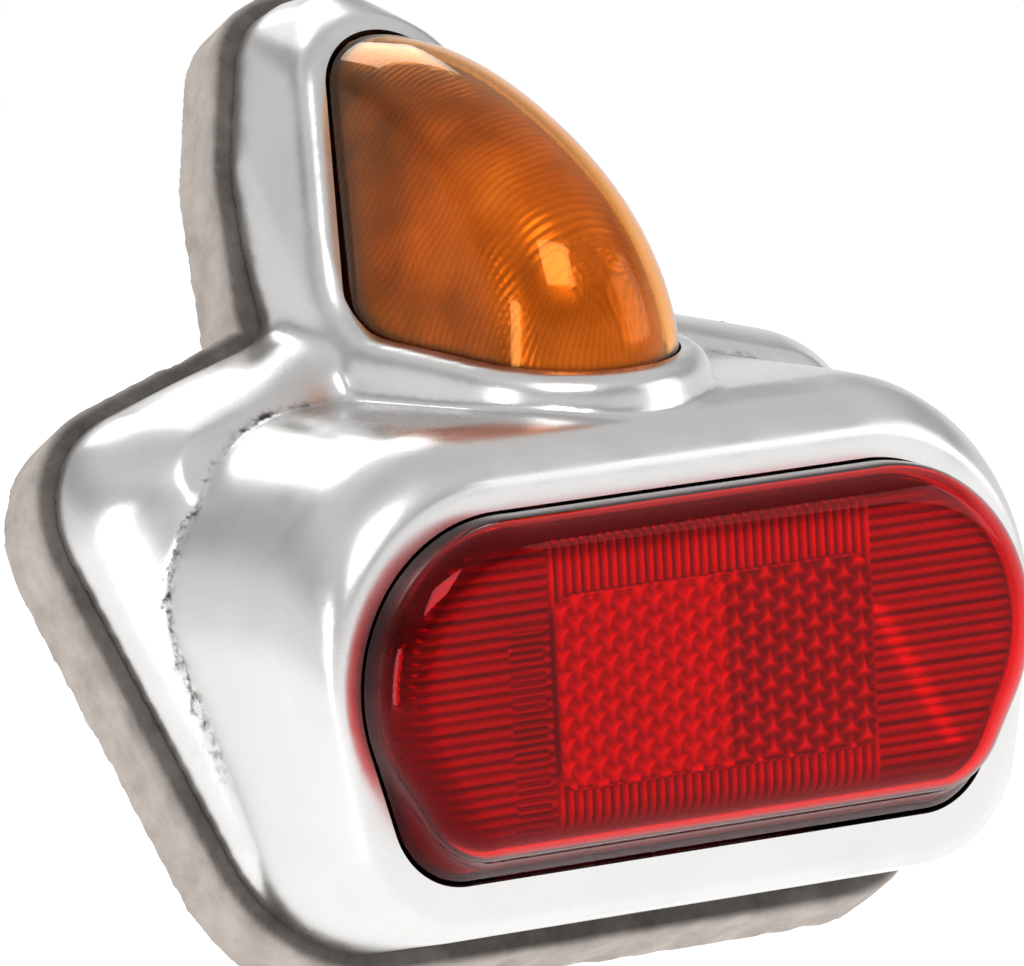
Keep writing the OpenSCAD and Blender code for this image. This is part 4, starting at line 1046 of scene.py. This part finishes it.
def build_stage():
    """Pale floor lit a little from below, pale surroundings and soft studio lights."""
    corners = [(-8000, -8000, 0), (8000, -8000, 0), (8000, 8000, 0), (-8000, 8000, 0)]
    floor = mesh_object("floor", corners, [[0, 1, 2, 3]])
    floor.location.z = CAD_BOX[0][2] - 0.12
    paint, tree, shader, place = new_material(
        "pale_floor", linear("#F6F6F5"), 0.7,
        **{"Emission Color": linear("#FFFFFF"), "Emission Strength": 0.36})
    mottle = add(tree, NOISE, {"Vector": place, "Scale": per(400), "Detail": 2.0})
    wire(tree, shader, Base_Color=add(tree, RAMP, {"Fac": mottle}, [(0.3, "#F4F4F3"), (0.7, "#F8F8F7")]))
    floor.data.materials.append(paint)
    world = bpy.data.worlds.new("studio")
    bpy.context.scene.world = world
    world.use_nodes = True
    sky = world.node_tree
    back = sky.nodes["Background"]
    place = add(sky, "ShaderNodeTexCoord").outputs["Generated"]
    height = add(sky, "ShaderNodeSeparateXYZ", {"Vector": place}).outputs["Z"]
    share = add(sky, RANGE, {"Value": height, "From Min": -1.0, "From Max": 1.0})
    # pale walls and ceiling, with a darker band between for the polished metal to show
    room = add(sky, RAMP, {"Fac": share},
               [(0.5, "#FFFFFF"), (0.62, "#F4F4F4"), (0.70, "#B0B0B0"), (0.78, "#C2C2C2"), (0.86, "#E8E8E8"),
                (1.0, "#D8D8D8")])
    sky.links.new(room.outputs["Color"], back.inputs["Color"])
    back.inputs["Strength"].default_value = chosen("room_light")
    bpy.context.scene.view_settings.view_transform = "Standard"
    area_light("key", (-0.5, -0.9, 1.1), (0.7, 0.5), 7.0)
    area_light("fill", (1.1, -0.9, 0.5), (0.8, 0.8), 3.0)
    area_light("back", (0.3, 1.0, 0.9), (0.8, 0.5), 4.0)
    area_light("strip", (-1.2, -0.15, 0.1), (0.22, 0.8), 4.0)


# Add-on

def colour_setting(name, description, text):
    """A colour property whose default is an sRGB hex colour."""
    return bpy.props.FloatVectorProperty(name=name, description=description, subtype="COLOR", size=3,
                                         min=0.0, max=1.0, default=linear(text)[:3])


def size_setting(name, description, size, low, high):
    """A length property, given in millimetres and kept in metres."""
    return bpy.props.FloatProperty(name=name, description=description, unit="LENGTH", precision=5,
                                   default=size * MM, min=low * MM, max=high * MM)


class TailLightSettings(bpy.types.PropertyGroup):
    """Colours, sizes of the relief, and the fineness of the modelled pieces."""
    casting_colour: colour_setting("Casting", "Tone of the polished aluminium", "#DAD9D8")
    red_colour: colour_setting("Red acrylic", "Tint of the red lens", "#F01826")
    amber_colour: colour_setting("Amber acrylic", "Tint of the amber lens", "#FFE0A0")
    rubber_colour: colour_setting("Rubber", "Mean tone of the base pad", "#A59C95")
    room_light: bpy.props.FloatProperty(name="Room light", description="Brightness of the studio room",
                                        default=0.95, min=0.0, max=5.0)
    seam_width: size_setting("Crease width", "Width of the pores along the casting's crease", 0.5, 0.1, 3.0)
    prism_pitch: size_setting("Prism pitch", "Distance between the red panel's prisms", 2.25, 1.2, 5.0)
    red_flute_pitch: size_setting("Red flute pitch", "Distance between the red flutes", 1.12, 0.6, 3.0)
    amber_flute_pitch: size_setting("Amber flute pitch", "Distance between the amber flutes", 0.9, 0.7, 3.0)
    amber_flute_depth: size_setting("Amber flute depth", "Depth of the amber lens's flutes", 0.16, 0.05, 0.6)
    casting_voxel: size_setting("Casting grid", "Fineness of the casting's surface", 0.45, 0.3, 1.5)
    flute_voxel: size_setting("Flute grid", "Fineness of the amber flutes", 0.3, 0.2, 1.0)
    prism_step: size_setting("Prism grid", "Fineness of the red prisms", 0.2, 0.12, 1.0)


class TAILLIGHT_OT_housing(bpy.types.Operator):
    """Build the polished cast housing"""
    bl_idname = "taillight.housing"
    bl_label = "Housing"

    def execute(self, context):
        build_housing()
        return {"FINISHED"}


class TAILLIGHT_OT_red_lens(bpy.types.Operator):
    """Build the red lens: smooth skin and moulded prisms"""
    bl_idname = "taillight.red_lens"
    bl_label = "Red lens"

    def execute(self, context):
        build_red_skin()
        build_red_plate()
        return {"FINISHED"}


class TAILLIGHT_OT_amber_lens(bpy.types.Operator):
    """Build the amber lens: smooth skin and fine flutes"""
    bl_idname = "taillight.amber_lens"
    bl_label = "Amber lens"

    def execute(self, context):
        build_amber_skin()
        build_amber_flutes()
        return {"FINISHED"}


class TAILLIGHT_OT_pad(bpy.types.Operator):
    """Build the rubber base pad"""
    bl_idname = "taillight.pad"
    bl_label = "Base pad"

    def execute(self, context):
        build_pad()
        return {"FINISHED"}


class TAILLIGHT_OT_hardware(bpy.types.Operator):
    """Finish the plate, sockets, bulbs, screws and leads"""
    bl_idname = "taillight.hardware"
    bl_label = "Hardware"

    def execute(self, context):
        finish_hardware()
        return {"FINISHED"}


class TAILLIGHT_OT_stage(bpy.types.Operator):
    """Build the floor, the lights and the camera"""
    bl_idname = "taillight.stage"
    bl_label = "Stage"

    def execute(self, context):
        build_camera()
        build_stage()
        return {"FINISHED"}


class TAILLIGHT_PT_panel(bpy.types.Panel):
    """Buttons for each piece"""
    bl_idname = "TAILLIGHT_PT_panel"
    bl_label = "Tail light"
    bl_space_type = "VIEW_3D"
    bl_region_type = "UI"
    bl_category = "Tail light"

    def draw(self, context):
        for name in TailLightSettings.__annotations__:
            self.layout.prop(context.scene.tail_light, name)
        for operator in OPERATORS:
            self.layout.operator(operator.bl_idname)


OPERATORS = (TAILLIGHT_OT_stage, TAILLIGHT_OT_housing, TAILLIGHT_OT_red_lens, TAILLIGHT_OT_amber_lens,
             TAILLIGHT_OT_pad, TAILLIGHT_OT_hardware)
CLASSES = (TailLightSettings,) + OPERATORS + (TAILLIGHT_PT_panel,)


def register():
    for made in CLASSES:
        bpy.utils.register_class(made)
    bpy.types.Scene.tail_light = bpy.props.PointerProperty(type=TailLightSettings)


def unregister():
    del bpy.types.Scene.tail_light
    for made in reversed(CLASSES):
        bpy.utils.unregister_class(made)


def main():
    """Registers the add-on and builds every piece in order."""
    register()
    bpy.ops.taillight.stage()
    bpy.ops.taillight.housing()
    bpy.ops.taillight.red_lens()
    bpy.ops.taillight.amber_lens()
    bpy.ops.taillight.pad()
    bpy.ops.taillight.hardware()


if __name__ == "__main__":
    main()
